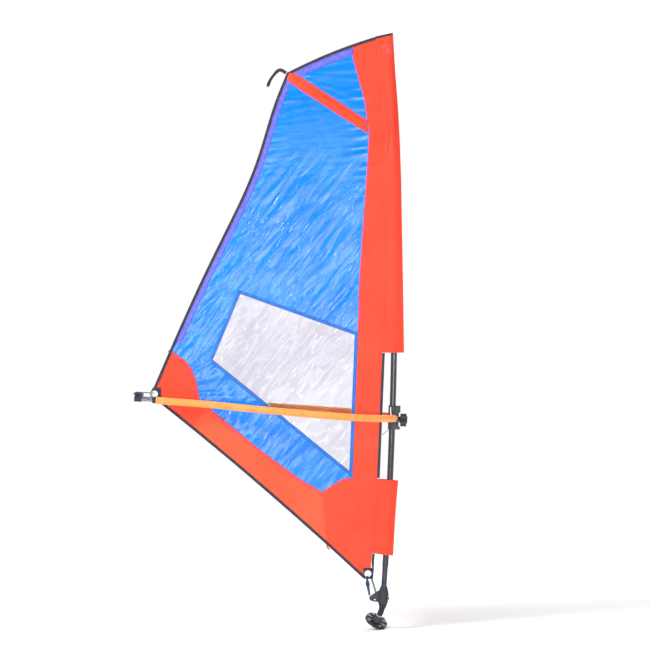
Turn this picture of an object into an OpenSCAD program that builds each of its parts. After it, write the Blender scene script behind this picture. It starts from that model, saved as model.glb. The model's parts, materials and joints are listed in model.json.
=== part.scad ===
// Windsurf rig for a child: sail, curved mast, wishbone boom and screw-in foot.
// Every sub-part is drawn in the sail's own frame (sail in the XZ plane, mast on the right)
// and in_row() then moves it so that the root of the deck stud is the origin.

/* [Mast] */
// Outside diameter of the mast tube
mast_od = 27.4; // [27:0.1:27.8]
// Wall thickness of the mast tube
mast_wall = 1.5; // [1.4:0.1:1.5]
// Bend radius of the rigged mast
mast_bend_r = 20850; // [20600:50:21100]
// Height of the joint between the two mast tubes
mast_joint_z = 1545; // [1545:5:1600]
// Outside diameter of the extension tube
extension_od = 24; // [23.8:0.1:24.2]

/* [Sail] */
// Thickness of the sail cloth solids
cloth_t = 1.6; // [1.2:0.1:2]
// Width of the black edge binding
binding_w = 13; // [10:1:15]
// Width of the luff webbing
webbing_w = 12; // [10:1:12]
// Width of the leech tape
leech_tape_w = 22; // [18:1:24]
// Width of the head tape
head_tape_w = 31; // [26:1:34]
// Deepest inward curve of the leech
leech_hollow = 31; // [24:1:34]
// Width of the tape round the window
window_tape_w = 15; // [12:1:15]
// Half thickness of the mast sleeves
sleeve_half_t = 16.4; // [16.2:0.1:17]

/* [Boom] */
// Angle at which the boom rises towards its tail
boom_rise = 4.36; // [4.2:0.02:4.5]
// Half the widest distance between the arms' axes
boom_half_w = 150; // [146:1:154]
// Outside diameter of the foam grips
grip_od = 31; // [29:1:32]
// Outside diameter of the arm tubes
arm_od = 20; // [19.6:0.1:20.2]
// Outside diameter of the telescoping tail tubes
tail_od = 16; // [15.8:0.1:16]
// Diameter of the clamp knob over its lobes
knob_d = 60; // [54:1:62]

/* [Foot] */
// Bend of the rubber tendon at rest
tendon_bend = 31; // [28:1:33]
// Direction in which the tendon bends, round the mast axis
tendon_turn = -51; // [-56:1:-46]
// Diameter of the hand disc
disc_d = 102; // [96:1:106]
// Thickness of the hand disc
disc_t = 12; // [11:1:13]
// Radius of the deck stud's thread
stud_r = 4; // [3.9:0.1:4]
// Length of the deck stud below the disc
stud_len = 14; // [12:1:18]

/* [Lines] */
// Diameter of the control lines
line_d = 4; // [3:0.5:4]

/* [Hidden] */

smooth = 96;          // facets of a plain round solid
arc_smooth = 1440;    // facets of a full turn of a very large arc
bend_smooth = 240;    // facets of a full turn of an arm's bend

// --- mast axis -----------------------------------------------------------------------------
mast_mid_x = 80;
mast_mid_z = 1545;
mast_bottom_z = 247;
mast_top_z = 2560;
function mast_x(z) = mast_mid_x - mast_bend_r + sqrt(pow(mast_bend_r, 2) - pow(z - mast_mid_z, 2));
function mast_lean(z) = asin((mast_mid_z - z) / mast_bend_r);
function mast_turn(z) = -mast_lean(z);
mast_r = mast_od / 2;
mast_bore_r = mast_r - mast_wall;

// --- foot ------------------------------------------------------------------------------------
bend_z = 55.7;                      // height at which the tendon's two axes cross
bend_x = mast_x(bend_z);
foot_lean = mast_lean(bend_z);
tendon_half = 29;                   // from that crossing to either end of the tendon
disc_drop = 72.5;                   // from that crossing to the disc's underside
disc_normal = let(
        flat = [sin(tendon_bend) * cos(tendon_turn), sin(tendon_bend) * sin(tendon_turn), cos(tendon_bend)])
    [flat.x * cos(foot_lean) + flat.z * sin(foot_lean), flat.y,
     flat.z * cos(foot_lean) - flat.x * sin(foot_lean)];
to_origin = -([bend_x, 0, bend_z] - disc_drop * disc_normal);

module in_row() translate(to_origin) children();
module at_foot() in_row() translate([bend_x, 0, bend_z]) rotate([0, foot_lean, 0]) children();
module at_disc() at_foot() rotate([0, 0, tendon_turn]) rotate([0, tendon_bend, 0])
    rotate([0, 0, -tendon_turn]) children();
module tube(ro, ri, h) difference() {
    cylinder(r = ro, h = h, $fn = smooth);
    translate([0, 0, -1]) cylinder(r = ri, h = h + 2, $fn = smooth);
}
// The two triangles of a four-sided face.
function split(a, b, c, d) = [[a, b, c], [a, c, d]];
module along_x(x, y, z) translate([x, y, z]) rotate([0, 90, 0]) children();
module along_y(x, y, z) translate([x, y, z]) rotate([-90, 0, 0]) children();

// --- sail outline, points in [X, Z] ------------------------------------------------------------
head_seam = [0, 2574];
head_corner = [-393, 2416];
clew_top = [-982, 1032];
foot_start = [-947, 964];
tack_corner = [-56, 192];
head_bulge = 11;
foot_hollow = 15;
hollow_at = 0.34;
function lerp(a, b, t) = a + (b - a) * t;
function unit(v) = v / norm(v);
function left_of(v) = [-v.y, v.x];
function leech_shape(s) = s <= 0 ? 0 : exp(4.5 * (ln(s / hollow_at) + 1 - s / hollow_at));
function leech(s) = lerp(head_corner, clew_top, s)
    + left_of(unit(clew_top - head_corner)) * leech_hollow * leech_shape(s) * (1 - pow(s, 8));
head_points = [for (t = [0 : 0.2 : 0.8]) lerp(head_seam, head_corner, t) + [0, 4 * head_bulge * t * (1 - t)]];
leech_points = [for (s = [0 : 0.08 : 0.96]) leech(s)];
clew_points = [clew_top, [-998, 1012], [-992, 988]];
foot_points = [for (t = [0 : 0.2 : 1]) lerp(foot_start, tack_corner, t) + [0, 4 * foot_hollow * t * (1 - t)]];
luff_points = [[-27, 192], [-21, 274], [3, 637], [25, 1189], [39, 2127], [35, 2173], [28, 2264]];
outline = concat(head_points, leech_points, clew_points, foot_points, luff_points);
n_head = len(head_points);
n_leech = len(leech_points) + len(clew_points);
n_foot = len(foot_points);

// Crossing of the two edges at a corner after they are moved in by da and db.
function corner_in(p0, p1, p2, da, db) = let(
        na = left_of(unit(p1 - p0)), nb = left_of(unit(p2 - p1)), det = na.x * nb.y - na.y * nb.x)
    abs(det) < 0.02 ? p1 + (na + nb) / (1 + na * nb) * max(da, db)
    : p1 + [(da * nb.y - db * na.y) / det, (db * na.x - da * nb.x) / det];
function inset(loop, widths) = let(n = len(loop))
    [for (i = [0 : n - 1]) corner_in(loop[(i + n - 1) % n], loop[i], loop[(i + 1) % n],
        widths[(i + n - 1) % n], widths[i])];
function edge_widths(head, leech, foot) = concat(
    [for (i = [1 : n_head]) head], [for (i = [1 : n_leech]) leech],
    [for (i = [1 : n_foot - 1]) foot], [for (i = [0 : len(luff_points)]) 0]);
cloth_loop = inset(outline, edge_widths(binding_w, binding_w, binding_w));
inner_loop = inset(outline, edge_widths(binding_w + head_tape_w, binding_w + leech_tape_w, binding_w));
function span(list, from, to) = [for (i = [from : to]) list[i]];
function reversed(list) = [for (i = [len(list) - 1 : -1 : 0]) list[i]];
function strip(outer, inner, from, to) = concat(span(outer, from, to), reversed(span(inner, from, to)));

window_corners = [[-598, 1449], [-719, 1159], [-119, 669], [-96, 1269]];
window_outer = inset(window_corners, [for (i = [0 : 3]) -window_tape_w]);
pocket_area = [[-440, 2470.5], [-40, 2208], [-40, 2150], [-455, 2420]];
luff_edge = [[-115, 2700], [-115, 2525], [-52, 2293], [-40, 2208], [-32, 2142], [-44, 1950], [-50, 1869],
    [-74, 1511], window_outer[3], window_outer[2], [-150, 632], [-239, 575]];
foot_edge = [[-239, 575], [-332, 628], [-512, 761], [-740, 950]];
clew_edge = [[-740, 950], [-778, 984], [-786, 1025], [-790, 1058], [-812, 1117], [-843, 1158], [-904, 1197],
    [-1000, 1240]];
luff_area = concat(luff_edge, [[-215, 330], [-215, 100], [200, 100], [200, 2700]]);
foot_area = concat(foot_edge, [[-815, 850], [-900, 700], [-215, 100], [-215, 330]]);
clew_area = concat(clew_edge, [[-1100, 1240], [-1100, 850], [-900, 700], [-815, 850]]);
tack_square = [[-58, 100], [-58, 240], [-10, 240], [-10, 100]];
clew_square = [[-1100, 1037], [-948, 1037], [-946, 996], [-962, 900], [-1100, 900]];

module sheet(t = cloth_t) in_row() rotate([90, 0, 0]) translate([0, 0, -t / 2]) linear_extrude(t) children();

module luff_panel() color("tomato") sheet() difference() {
    intersection() { polygon(cloth_loop); polygon(luff_area); }
    polygon(tack_square);
}
module foot_panel() color("tomato") sheet() intersection() { polygon(inner_loop); polygon(foot_area); }
module clew_panel() color("tomato") sheet() difference() {
    intersection() { polygon(cloth_loop); polygon(clew_area); }
    polygon(clew_square);
}
module main_panel() color("dodgerblue") sheet() difference() {
    polygon(inner_loop);
    polygon(luff_area);
    polygon(foot_area);
    polygon(clew_area);
    polygon(window_outer);
    polygon([pocket_area[3], pocket_area[2], [100, 2150], [100, 2800], [-600, 2600]]);
}
module head_panel() color("dodgerblue") sheet() difference() {
    intersection() {
        polygon(inner_loop);
        polygon([[-600, 2700], [200, 2700], pocket_area[1], pocket_area[0]]);
    }
    polygon(luff_area);
}
module window_film() color([0.9, 0.88, 0.97, 0.5]) sheet(1) polygon(window_corners);
module window_tape() color("mediumblue") sheet() difference() {
    polygon(window_outer);
    polygon(window_corners);
}
module leech_tape() color("slateblue") sheet() difference() {
    polygon(strip(cloth_loop, inner_loop, n_head, n_head + n_leech - 1));
    polygon(pocket_area);
    polygon(clew_area);
}
module head_tape() color("slateblue") sheet() difference() {
    polygon(strip(cloth_loop, inner_loop, 0, n_head));
    polygon(pocket_area);
    polygon(luff_area);
}
module leech_binding() color("black") sheet(2.4) difference() {
    polygon(strip(outline, cloth_loop, n_head, n_head + n_leech));
    polygon(clew_square);
}
module head_binding() color("black") sheet(2.4) polygon(strip(outline, cloth_loop, 0, n_head));
module foot_binding() color("black") sheet(2.4) difference() {
    polygon(strip(outline, cloth_loop, n_head + n_leech, n_head + n_leech + n_foot - 1));
    polygon(clew_square);
    polygon(tack_square);
}
module luff_webbing() color("black") sheet(3) {
    polygon([[-20.5, 241], [-20.5, 274], [-18.4, 303], [-18.4 + webbing_w, 303], [-9, 274], [-10, 241]]);
    polygon([[3.1, 638], [3 + webbing_w, 638], [25 + webbing_w, 1189], [25.1, 1189]]);
}

// Batten pocket: two skins round a flat slot, from the leech to the luff panel.
batten_slope = atan2(208, 341);
module batten_pocket() color("tomato") difference() {
    sheet(5.6) difference() {
        intersection() { polygon(cloth_loop); polygon(pocket_area); }
        polygon(luff_area);
    }
    in_row() translate([-393, 0, 2407]) rotate([0, batten_slope, 0]) translate([2, -1.3, -12])
        cube([420, 2.6, 24]);
}
module batten() color("ivory") in_row() translate([-382, 0, 2400.6]) rotate([0, batten_slope, 0])
    translate([0, -1, -10]) cube([390, 2, 20]);

// --- patches and rings --------------------------------------------------------------------------
tack_ring_at = [-37, 214];
clew_ring_at = [-975, 1009];
module ring_hole(at, r) in_row() along_y(at.x, -10, at.y) cylinder(r = r, h = 20, $fn = smooth);
module tack_patch() color("black") difference() {
    sheet(3.2) polygon([[-58, 196], [-58, 240], [-10, 240], [-14, 191], [-52, 191]]);
    ring_hole(tack_ring_at, 11);
}
module clew_patch() color("black") difference() {
    sheet(3.2) polygon([[-983, 1037], [-948, 1037], [-946, 996], [-952, 984], [-988, 984], [-997, 1010]]);
    ring_hole(clew_ring_at, 11);
}
module grommet(at, flange_r) in_row() along_y(at.x, 0, at.y) difference() {
    union() {
        translate([0, 0, -1.6]) cylinder(r = 11, h = 3.2, $fn = smooth);
        for (side = [-1, 1]) translate([0, 0, side * 2.3 - 0.7]) cylinder(r = flange_r, h = 1.4, $fn = smooth);
    }
    translate([0, 0, -5]) cylinder(r = 8.5, h = 10, $fn = smooth);
}
module tack_grommet() color("silver") grommet(tack_ring_at, 14.5);
module clew_ring() color("white") grommet(clew_ring_at, 14.5);

// --- mast sleeves: hollow lofts round the mast ---------------------------------------------------
// Each station is [z at the mast, back X, front X, slope of the ring].
upper_stations = [[1191, 26.3, 121, 0], [1450, 30, 117, 0], [1750, 34.5, 111, 0], [1950, 37.5, 107.5, 0],
    [2127, 40, 101, 0], [2264, 29.5, 93, 0.05], [2420, 17, 80.5, 0.1], [2500, 9.5, 75.5, 0.15], [2585, 1, 70.5, 0.2]];
lower_stations = [[298, -18.2, 74.5, -0.118], [420, -10.8, 80.5, -0.118], [530, -3.5, 87.5, -0.11],
    [630, 3.5, 96, -0.097]];
ring_sides = 32;
sleeve_wall = 1;
function sleeve_ring(s, wall) = let(xm = mast_x(s[0])) [for (i = [0 : ring_sides - 1]) let(
        a = 360 * i / ring_sides,
        reach = cos(a) > 0 ? s[2] - xm - wall : xm - s[1] - wall,
        x = reach * cos(a))
    [xm + x, (sleeve_half_t - wall) * sin(a), s[0] + s[3] * x]];
module sleeve(stations) let(
    n = ring_sides, m = len(stations),
    skins = concat([for (s = stations) sleeve_ring(s, 0)], [for (s = stations) sleeve_ring(s, sleeve_wall)]),
    points = [for (ring = skins) each ring],
    quads = [for (k = [0 : m - 2], i = [0 : n - 1]) let(j = (i + 1) % n, a = k * n, b = (m + k) * n)
        each concat(split(a + i, a + n + i, a + n + j, a + j), split(b + i, b + j, b + n + j, b + n + i))],
    rims = [for (i = [0 : n - 1]) let(j = (i + 1) % n, t = (m - 1) * n, u = (2 * m - 1) * n)
        each concat(split(i, j, m * n + j, m * n + i), split(t + i, u + i, u + j, t + j))])
    in_row() polyhedron(points, concat(quads, rims), convexity = 6);
module sleeve_upper() color("orangered") sleeve(upper_stations);
module sleeve_lower() color("orangered") sleeve(lower_stations);

// --- mast ---------------------------------------------------------------------------------------
module mast_arc(z0, z1, ro, ri) in_row() translate([mast_mid_x - mast_bend_r, 0, mast_mid_z])
    rotate([90, 0, 0]) rotate([0, 0, mast_turn(z0)])
    rotate_extrude(angle = mast_turn(z1) - mast_turn(z0), $fn = arc_smooth)
    translate([mast_bend_r, 0]) difference() {
        circle(r = ro, $fn = 48);
        circle(r = ri, $fn = 48);
    }
// The lower tube is modelled in equal lengths that stop a hair short of each other.
mast_lengths = 5;
mast_step = (mast_joint_z - mast_bottom_z) / mast_lengths;
mast_gap = 0.02;
module mast_lower() color("#222233") for (i = [0 : mast_lengths - 1])
    mast_arc(mast_bottom_z + i * mast_step, mast_bottom_z + (i + 1) * mast_step - mast_gap, mast_r, mast_bore_r);
module mast_upper() color("#222233") mast_arc(mast_joint_z, mast_top_z, mast_r, mast_bore_r);
module mast_ferrule() color("gray")
    mast_arc(mast_joint_z - 90, mast_joint_z + 90, mast_bore_r, mast_bore_r - 2);
module mast_top_plug() color("black") in_row() translate([mast_x(mast_top_z), 0, mast_top_z])
    rotate([0, mast_lean(mast_top_z), 0]) {
        cylinder(r1 = mast_r - 0.5, r2 = mast_r - 5, h = 10, $fn = smooth);
        translate([0, 0, -26]) cylinder(r = mast_bore_r - 0.3, h = 26, $fn = smooth);
    }

// --- base fitting, drawn up the foot axis from the tendon's crossing -------------------------------
base_bottom = 27.6;
base_top = 102;
base_r = 22.5;
pin_r = 6;
latch_z = 50;
sheave_at = [-36, 42];              // [across, up] from the crossing, on the pulley arm
arm_profile = [[-14, 87], [-34, 72], [-60, 52], [-61, 42], [-52, 35], [-20, 32], [-12, 31]];
extension_wall = 1.8;
extension_z = [122, 389];           // its lower and upper ends
module extension_tube() color("#44444f")
    mast_arc(extension_z[0], extension_z[1], extension_od / 2, extension_od / 2 - extension_wall);
module base_fitting() color("#1d1d28") at_foot() difference() {
    union() {
        translate([0, 0, base_bottom]) cylinder(r1 = 20, r2 = base_r, h = 6, $fn = smooth);
        translate([0, 0, base_bottom + 6]) cylinder(r = base_r, h = 42, $fn = smooth);
        translate([0, 0, base_bottom + 48])
            cylinder(r1 = base_r, r2 = 15, h = base_top - base_bottom - 48, $fn = smooth);
        for (side = [-1, 1]) translate([0, side * 8.6, 0]) rotate([90, 0, 0]) translate([0, 0, -1.8])
            linear_extrude(3.6) polygon(arm_profile);
        for (z = [60, 66]) translate([0, 0, z]) cylinder(r = base_r + 2, h = 2.5, $fn = smooth);
    }
    translate([0, 0, 66]) cylinder(r = extension_od / 2, h = 60, $fn = smooth);
    translate([0, 0, base_bottom - 1]) cylinder(r = pin_r + 0.06, h = 34.4, $fn = smooth);
    translate([-14, -9.2, latch_z - 1.8]) cube([30, 18.4, 3.6]);
    along_x(9.6, 0, latch_z) cylinder(r = 5.2, h = 22.4, $fn = smooth);
    along_x(-18, 0, latch_z) cylinder(r = 3, h = 8, $fn = smooth);
    along_y(sheave_at.x, -20, sheave_at.y) cylinder(r = 3, h = 40, $fn = smooth);
    along_y(sheave_at.x, -6.8, sheave_at.y) cylinder(r = 12.5, h = 13.6, $fn = smooth);
}
module base_axle() color("silver") at_foot() along_y(sheave_at.x, -12, sheave_at.y)
    cylinder(r = 3, h = 24, $fn = smooth);
module sheave(r, bore, w) rotate_extrude($fn = smooth) polygon([[bore, 0], [r, 0], [r - 2.4, w * 0.32],
    [r - 2.4, w * 0.68], [r, w], [bore, w]]);
module base_sheave_near() color("gray") at_foot()
    along_y(sheave_at.x, -6.3, sheave_at.y) sheave(10.5, 3.06, 6);
module base_sheave_far() color("gray") at_foot() along_y(sheave_at.x, 0.3, sheave_at.y) sheave(10.5, 3.06, 6);
module downhaul_cleat() color("dimgray") at_foot() difference() {
    translate([-60, -6.7, 44]) cube([9, 13.4, 9]);
    translate([-62, 0, 54]) rotate([0, 90, 0]) cylinder(r = 3.6, h = 14, $fn = smooth);
}
module release_button() color("red") at_foot() {
    difference() {
        union() {
            translate([-10.5, -9, latch_z - 1.6]) cube([24, 18, 3.2]);
            along_x(13.4, 0, latch_z) cylinder(r = 5, h = 14, $fn = smooth);
        }
        for (x = [0, 3.2]) translate([x, 0, latch_z - 3])
            cylinder(r = x == 0 ? 4.7 : 6.4, h = 6, $fn = smooth);
    }
}
spring_turns = 4;
function coil(t, r, pitch) = [pitch * t, r * cos(360 * t), r * sin(360 * t)];
module release_spring() color("silver") at_foot() translate([-17.4, 0, latch_z])
    sweep([for (i = [0 : spring_turns * 10]) coil(i / 10, 1.9, 1.5)], 0.35, 6);
module swivel_cup() color("#16161e") at_foot() {
    translate([0, 0, tendon_half - 5]) cylinder(r = 19, h = 3.2, $fn = smooth);
    difference() {
        translate([0, 0, tendon_half - 2]) cylinder(r = pin_r, h = 32.5, $fn = smooth);
        translate([0, 0, latch_z - 2]) tube(8, 4.4, 4);
    }
}

// Rubber tendon: a tapered loft along the arc between the cup and the ring.
tendon_top = tendon_half - 5.2;
tendon_low = tendon_half - 0.2;
tendon_rings = 9;
module tendon() color("#181820") at_foot() rotate([0, 0, tendon_turn]) let(
    n = 16,
    points = [for (k = [0 : tendon_rings], i = [0 : n - 1]) let(
        t = k / tendon_rings, w = 1 - t, a = 360 * i / n,
        mid = [-sin(tendon_bend) * tendon_low * t * t, 0,
            tendon_top * w * w - cos(tendon_bend) * tendon_low * t * t],
        r = lerp(18.6, 13.4, pow(t, 0.8)), tilt = tendon_bend * t)
        mid + r * [cos(a) * cos(tilt), sin(a), -cos(a) * sin(tilt)]],
    walls = [for (k = [0 : tendon_rings - 1], i = [0 : n - 1]) let(j = (i + 1) % n)
        each split(k * n + i, k * n + j, (k + 1) * n + j, (k + 1) * n + i)])
    polyhedron(points, concat(walls,
        [[for (i = [n - 1 : -1 : 0]) i], [for (i = [0 : n - 1]) tendon_rings * n + i]]));

// --- foot: drawn up the disc's axis from the same crossing ------------------------------------------
disc_base = -disc_drop;
ring_base = -tendon_half - 1;
notch_r = 8;                        // finger notches in the disc's rim
module tendon_ring() color("silver") at_disc() translate([0, 0, ring_base - 4]) tube(14.8, 4.6, 5);
module foot_disc() color("#1d1d28") at_disc() difference() {
    union() {
        translate([0, 0, disc_base]) cylinder(r = disc_d / 2, h = disc_t - 2, $fn = smooth);
        translate([0, 0, disc_base + disc_t - 2])
            cylinder(r1 = disc_d / 2, r2 = disc_d / 2 - 4, h = 2, $fn = smooth);
        translate([0, 0, disc_base + disc_t]) cylinder(r1 = 27, r2 = 15.5, h = ring_base - 4 - disc_base - disc_t,
            $fn = smooth);
        for (a = [0 : 45 : 315]) rotate([0, 0, a]) translate([12, -2.5, disc_base + disc_t - 1])
            cube([34, 5, 5]);
    }
    for (a = [22.5 : 45 : 360]) rotate([0, 0, a]) translate([disc_d / 2 + notch_r - 3, 0, disc_base - 1])
        cylinder(r = notch_r, h = disc_t + 2, $fn = smooth);
    translate([0, 0, disc_base - 1]) cylinder(r = 4.6, h = 60, $fn = smooth);
}
module deck_stud() color("silver") at_disc() {
    translate([0, 0, disc_base - stud_len]) cylinder(r = stud_r, h = stud_len, $fn = smooth);
    translate([0, 0, disc_base]) cylinder(r = 4.5, h = ring_base + 1 - disc_base, $fn = smooth);
}

// --- boom: +X of its frame points forward, the mast axis is its origin ------------------------------
boom_z = 904;
boom_x = mast_x(boom_z);
arm_gap = 28;                       // half gap of the arms' axes where they enter the head
arm_front = 11;                     // forward place of that point
front_angle = 55;
rear_r = [1400, 400];               // the two reverse bends of an arm
tail_gap = 32;                      // half gap of the tail tubes
arm_end = -1048;
front_r = (boom_half_w - arm_gap) / (1 - cos(front_angle));
widest_x = arm_front - front_r * sin(front_angle);
rear_angle = acos(1 - (boom_half_w - tail_gap) / (rear_r[0] + rear_r[1]));
bend_x1 = widest_x - rear_r[0] * sin(rear_angle);
straight_x = bend_x1 - rear_r[1] * sin(rear_angle);
arm_insert = 10;
module at_boom() in_row() translate([boom_x, 0, boom_z]) rotate([0, boom_rise, 0]) children();
module at_clamp() in_row() translate([boom_x, 0, boom_z]) rotate([0, mast_lean(boom_z), 0]) children();

// A round tube along an arm's axis, from start behind the grip's front to end_x at the tail.
// Its straight and bent lengths are solids that stop a hair short of each other.
hair = 0.01;
module arm_path(ro, ri, start, end_x) {
    translate([arm_front, arm_gap, 0]) rotate([0, 0, 180 - front_angle]) rotate([0, 90, 0])
        translate([0, 0, -start]) tube(ro, ri, start - hair);
    bend(widest_x, boom_half_w - front_r, front_r, 90 - front_angle, front_angle, ro, ri);
    bend(widest_x, boom_half_w - rear_r[0], rear_r[0], 90, rear_angle, ro, ri);
    bend(straight_x, tail_gap + rear_r[1], rear_r[1], 270, rear_angle, ro, ri);
    along_x(end_x, tail_gap, 0) tube(ro, ri, straight_x - end_x - hair);
}
module bend(x, y, axis_r, from, angle, ro, ri) let(trim = atan(hair / axis_r))
    translate([x, y, 0]) rotate([0, 0, from + trim])
    rotate_extrude(angle = angle - 2 * trim, $fn = bend_smooth) translate([axis_r, 0]) difference() {
        circle(r = ro, $fn = 48);
        circle(r = ri, $fn = 48);
    }
module near_side() mirror([0, 1, 0]) children();
arm_r = arm_od / 2;
tail_r = tail_od / 2;
module arm_shape() arm_path(arm_r, tail_r + 0.1, arm_insert, arm_end);
module arm_far() color("silver") at_boom() arm_shape();
module arm_near() color("silver") at_boom() near_side() arm_shape();
grip_end = -1041;
module grip_far() color("orange") at_boom() grip_shape();
module grip_near() color("orange") at_boom() near_side() grip_shape();
module grip_shape() arm_path(grip_od / 2, arm_r, 0.5, grip_end);

knob_z = -7;
module head_cuts() {
    cylinder(r = 16, h = 200, center = true, $fn = smooth);
    translate([10, -8.6, knob_z - 9]) cube([14.6, 17.2, 18]);
    along_x(15, 0, knob_z) cylinder(r = 5.1, h = 30, $fn = smooth);
}
module boom_head() color("#15151d") difference() {
    union() {
        at_clamp() translate([0, 0, -50]) cylinder(r = 18.6, h = 103, $fn = smooth);
        at_clamp() translate([6, -17.5, -50]) cube([22, 35, 103]);
        at_clamp() translate([6, -16, 24.5]) cube([28, 32, 28.5]);
        at_clamp() translate([6, -16, -50]) cube([28, 32, 11]);
        for (side = [0, 1]) at_boom() mirror([0, side, 0]) translate([arm_front, arm_gap, 0])
            rotate([0, 0, 180 - front_angle]) rotate([0, 90, 0]) translate([0, 0, -arm_insert - 4])
            cylinder(r = 13, h = arm_insert + 3.2, $fn = smooth);
    }
    at_clamp() head_cuts();
    for (side = [0, 1]) at_boom() mirror([0, side, 0]) translate([arm_front, arm_gap, 0])
        rotate([0, 0, 180 - front_angle]) rotate([0, 90, 0]) translate([0, 0, -arm_insert])
        cylinder(r = arm_r, h = 40, $fn = smooth);
}
liner_r = 14.3;                     // clears the bent mast over the boom's travel
module clamp_liner() color("#333333") at_clamp() difference() {
    translate([0, 0, -50]) tube(16, liner_r, 103);
    translate([4, -8.8, knob_z - 9.2]) cube([20, 17.6, 18.4]);
}
module clamp_pad() color("dimgray") at_clamp() difference() {
    translate([10, -8.2, knob_z - 8.6]) cube([8.8, 16.4, 17.2]);
    cylinder(r = liner_r, h = 200, center = true, $fn = smooth);
}
knob_lobes = 5;
knob_wave = 4.2;                    // half the depth of the hollows between the lobes
knob_grip = 26;
module clamp_knob() color("#15151d") at_clamp() {
    along_x(19, 0, knob_z) cylinder(r = 5, h = 12, $fn = smooth);
    along_x(30, 0, knob_z) cylinder(r = 14, h = 6, $fn = smooth);
    along_x(35.5, 0, knob_z) difference() {
        union() {
            linear_extrude(knob_grip) polygon([for (a = [0 : 6 : 354])
                (knob_d / 2 - knob_wave + knob_wave * cos(knob_lobes * a)) * [cos(a), sin(a)]]);
            translate([0, 0, knob_grip - 1]) cylinder(r = 17, h = 5, $fn = smooth);
        }
        translate([0, 0, knob_grip + 1]) cylinder(r = 8, h = 10, $fn = smooth);
    }
}

collar_x = -1056.3;
module collar_shape() translate([collar_x, tail_gap, 0]) rotate([0, 90, 0]) difference() {
    union() {
        cylinder(r = 12.8, h = 15, $fn = smooth);
        for (a = [0 : 60 : 300]) rotate([0, 0, a]) translate([12, 0, 1]) cylinder(r = 1.8, h = 13, $fn = smooth);
    }
    translate([0, 0, -1]) cylinder(r = tail_r + 0.08, h = 20, $fn = smooth);
    translate([0, 0, 8]) cylinder(r = arm_r + 0.08, h = 20, $fn = smooth);
}
module collar_far() color("#15151d") at_boom() collar_shape();
module collar_near() color("#15151d") at_boom() near_side() collar_shape();

tail_front = -1104;
tail_deep = 32;
tail_tube_x = [tail_front - tail_deep + 4, -900];
module tail_tubes() color("darkgray") at_boom() for (side = [-1, 1])
    along_x(tail_tube_x[0], side * tail_gap, 0) tube(tail_r, tail_r - 1.5, tail_tube_x[1] - tail_tube_x[0]);
tail_pin_at = [-1122, 21];
module tail_fitting() color("#15151d") at_boom() difference() {
    union() {
        for (side = [-1, 1]) along_x(tail_front - tail_deep, side * tail_gap, 0)
            cylinder(r = 12, h = tail_deep, $fn = smooth);
        translate([tail_front - tail_deep, -tail_gap, -12]) cube([tail_deep, 2 * tail_gap, 24]);
        for (side = [-1, 1]) translate([tail_front - tail_deep, side * 7.6 - 1.6, 8]) cube([26, 3.2, 20]);
    }
    for (side = [-1, 1]) along_x(tail_front - tail_deep + 4, side * tail_gap, 0)
        cylinder(r = tail_r, h = tail_deep, $fn = smooth);
    along_y(tail_pin_at.x, -20, tail_pin_at.y) cylinder(r = 2.5, h = 40, $fn = smooth);
}
module tail_axle() color("silver") at_boom() along_y(tail_pin_at.x, -10.5, tail_pin_at.y)
    cylinder(r = 2.5, h = 21, $fn = smooth);
module tail_sheave() color("gray") at_boom() along_y(tail_pin_at.x, -5, tail_pin_at.y) sheave(8.5, 2.56, 10);
module tail_cleat() color("dimgray") at_boom() difference() {
    translate([tail_front - 5, -5.9, 12]) cube([11, 11.8, 12]);
    along_x(tail_front - 6, 0, 24.5) cylinder(r = 3.4, h = 14, $fn = smooth);
}

// --- lines -------------------------------------------------------------------------------------------
// A round tube swept along the points of a route.
function side_way(d) = unit(abs(d.y) < 0.9 ? cross(d, [0, 1, 0]) : cross(d, [1, 0, 0]));
function way(p, i) = unit(p[min(i + 1, len(p) - 1)] - p[max(i - 1, 0)]);
module sweep(path, r, n = 8) let(
    m = len(path),
    points = [for (k = [0 : m - 1]) let(d = way(path, k), u = side_way(d), v = cross(d, u)) for (i = [0 : n - 1])
        path[k] + r * cos(360 * i / n) * u + r * sin(360 * i / n) * v],
    walls = [for (k = [0 : m - 2], i = [0 : n - 1]) let(j = (i + 1) % n)
        each split(k * n + i, (k + 1) * n + i, (k + 1) * n + j, k * n + j)])
    polyhedron(points, concat(walls, [[for (i = [0 : n - 1]) i], [for (i = [n - 1 : -1 : 0]) (m - 1) * n + i]]));

outhaul_route = [[-992, -6, 1013], [-1000, -6, 1014.4], [-1008, -5, 1015], [-1016, -1.5, 1015.3],
    [-1024, 0, 1015.6], [-1034, 0, 1016]];
tie_route = [[57, -15, 853], [46, -13, 846], [36, -8, 838], [27, -4, 829]];
downhaul_route = [[-27, -6, 205], [-22, -6, 190], [-14, -5, 165], [-7, -4, 142], [-3, -3.3, 124],
    [-0.5, -3.3, 112.5]];
bundle_route = [[-38, -11, 205], [-40, -11, 190], [-38, -9, 170], [-35, -5, 150], [-32, -1, 132], [-30, 0, 117]];
outhaul_bundle_route = [[-1067, -17, 1009], [-1058, -17, 1012], [-1047, -17, 1012], [-1037, -17, 1011],
    [-1027, -17, 1010]];
lashing_route = [[-987, -46, 985], [-987, -46, 1005], [-987, -30, 1016], [-986, -11, 1014]];
strap_route = [[-396, 0, 2415], [-410, 0, 2424], [-424, 0, 2428], [-438, 0, 2420], [-450, 0, 2406],
    [-462, 0, 2390], [-471, 0, 2372], [-478, 0, 2354]];
module outhaul() color("navy") in_row() sweep(outhaul_route, line_d / 2);
module outhaul_bundle() color("navy") in_row() sweep(outhaul_bundle_route, 6);
module clew_lashing() color("lightslategray") in_row() sweep(lashing_route, line_d / 2);
module tie_line() color("black") in_row() sweep(tie_route, 1.5);
module downhaul() color("navy") in_row() sweep(downhaul_route, line_d / 2);
module downhaul_bundle() color("navy") in_row() sweep(bundle_route, 7);
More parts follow.
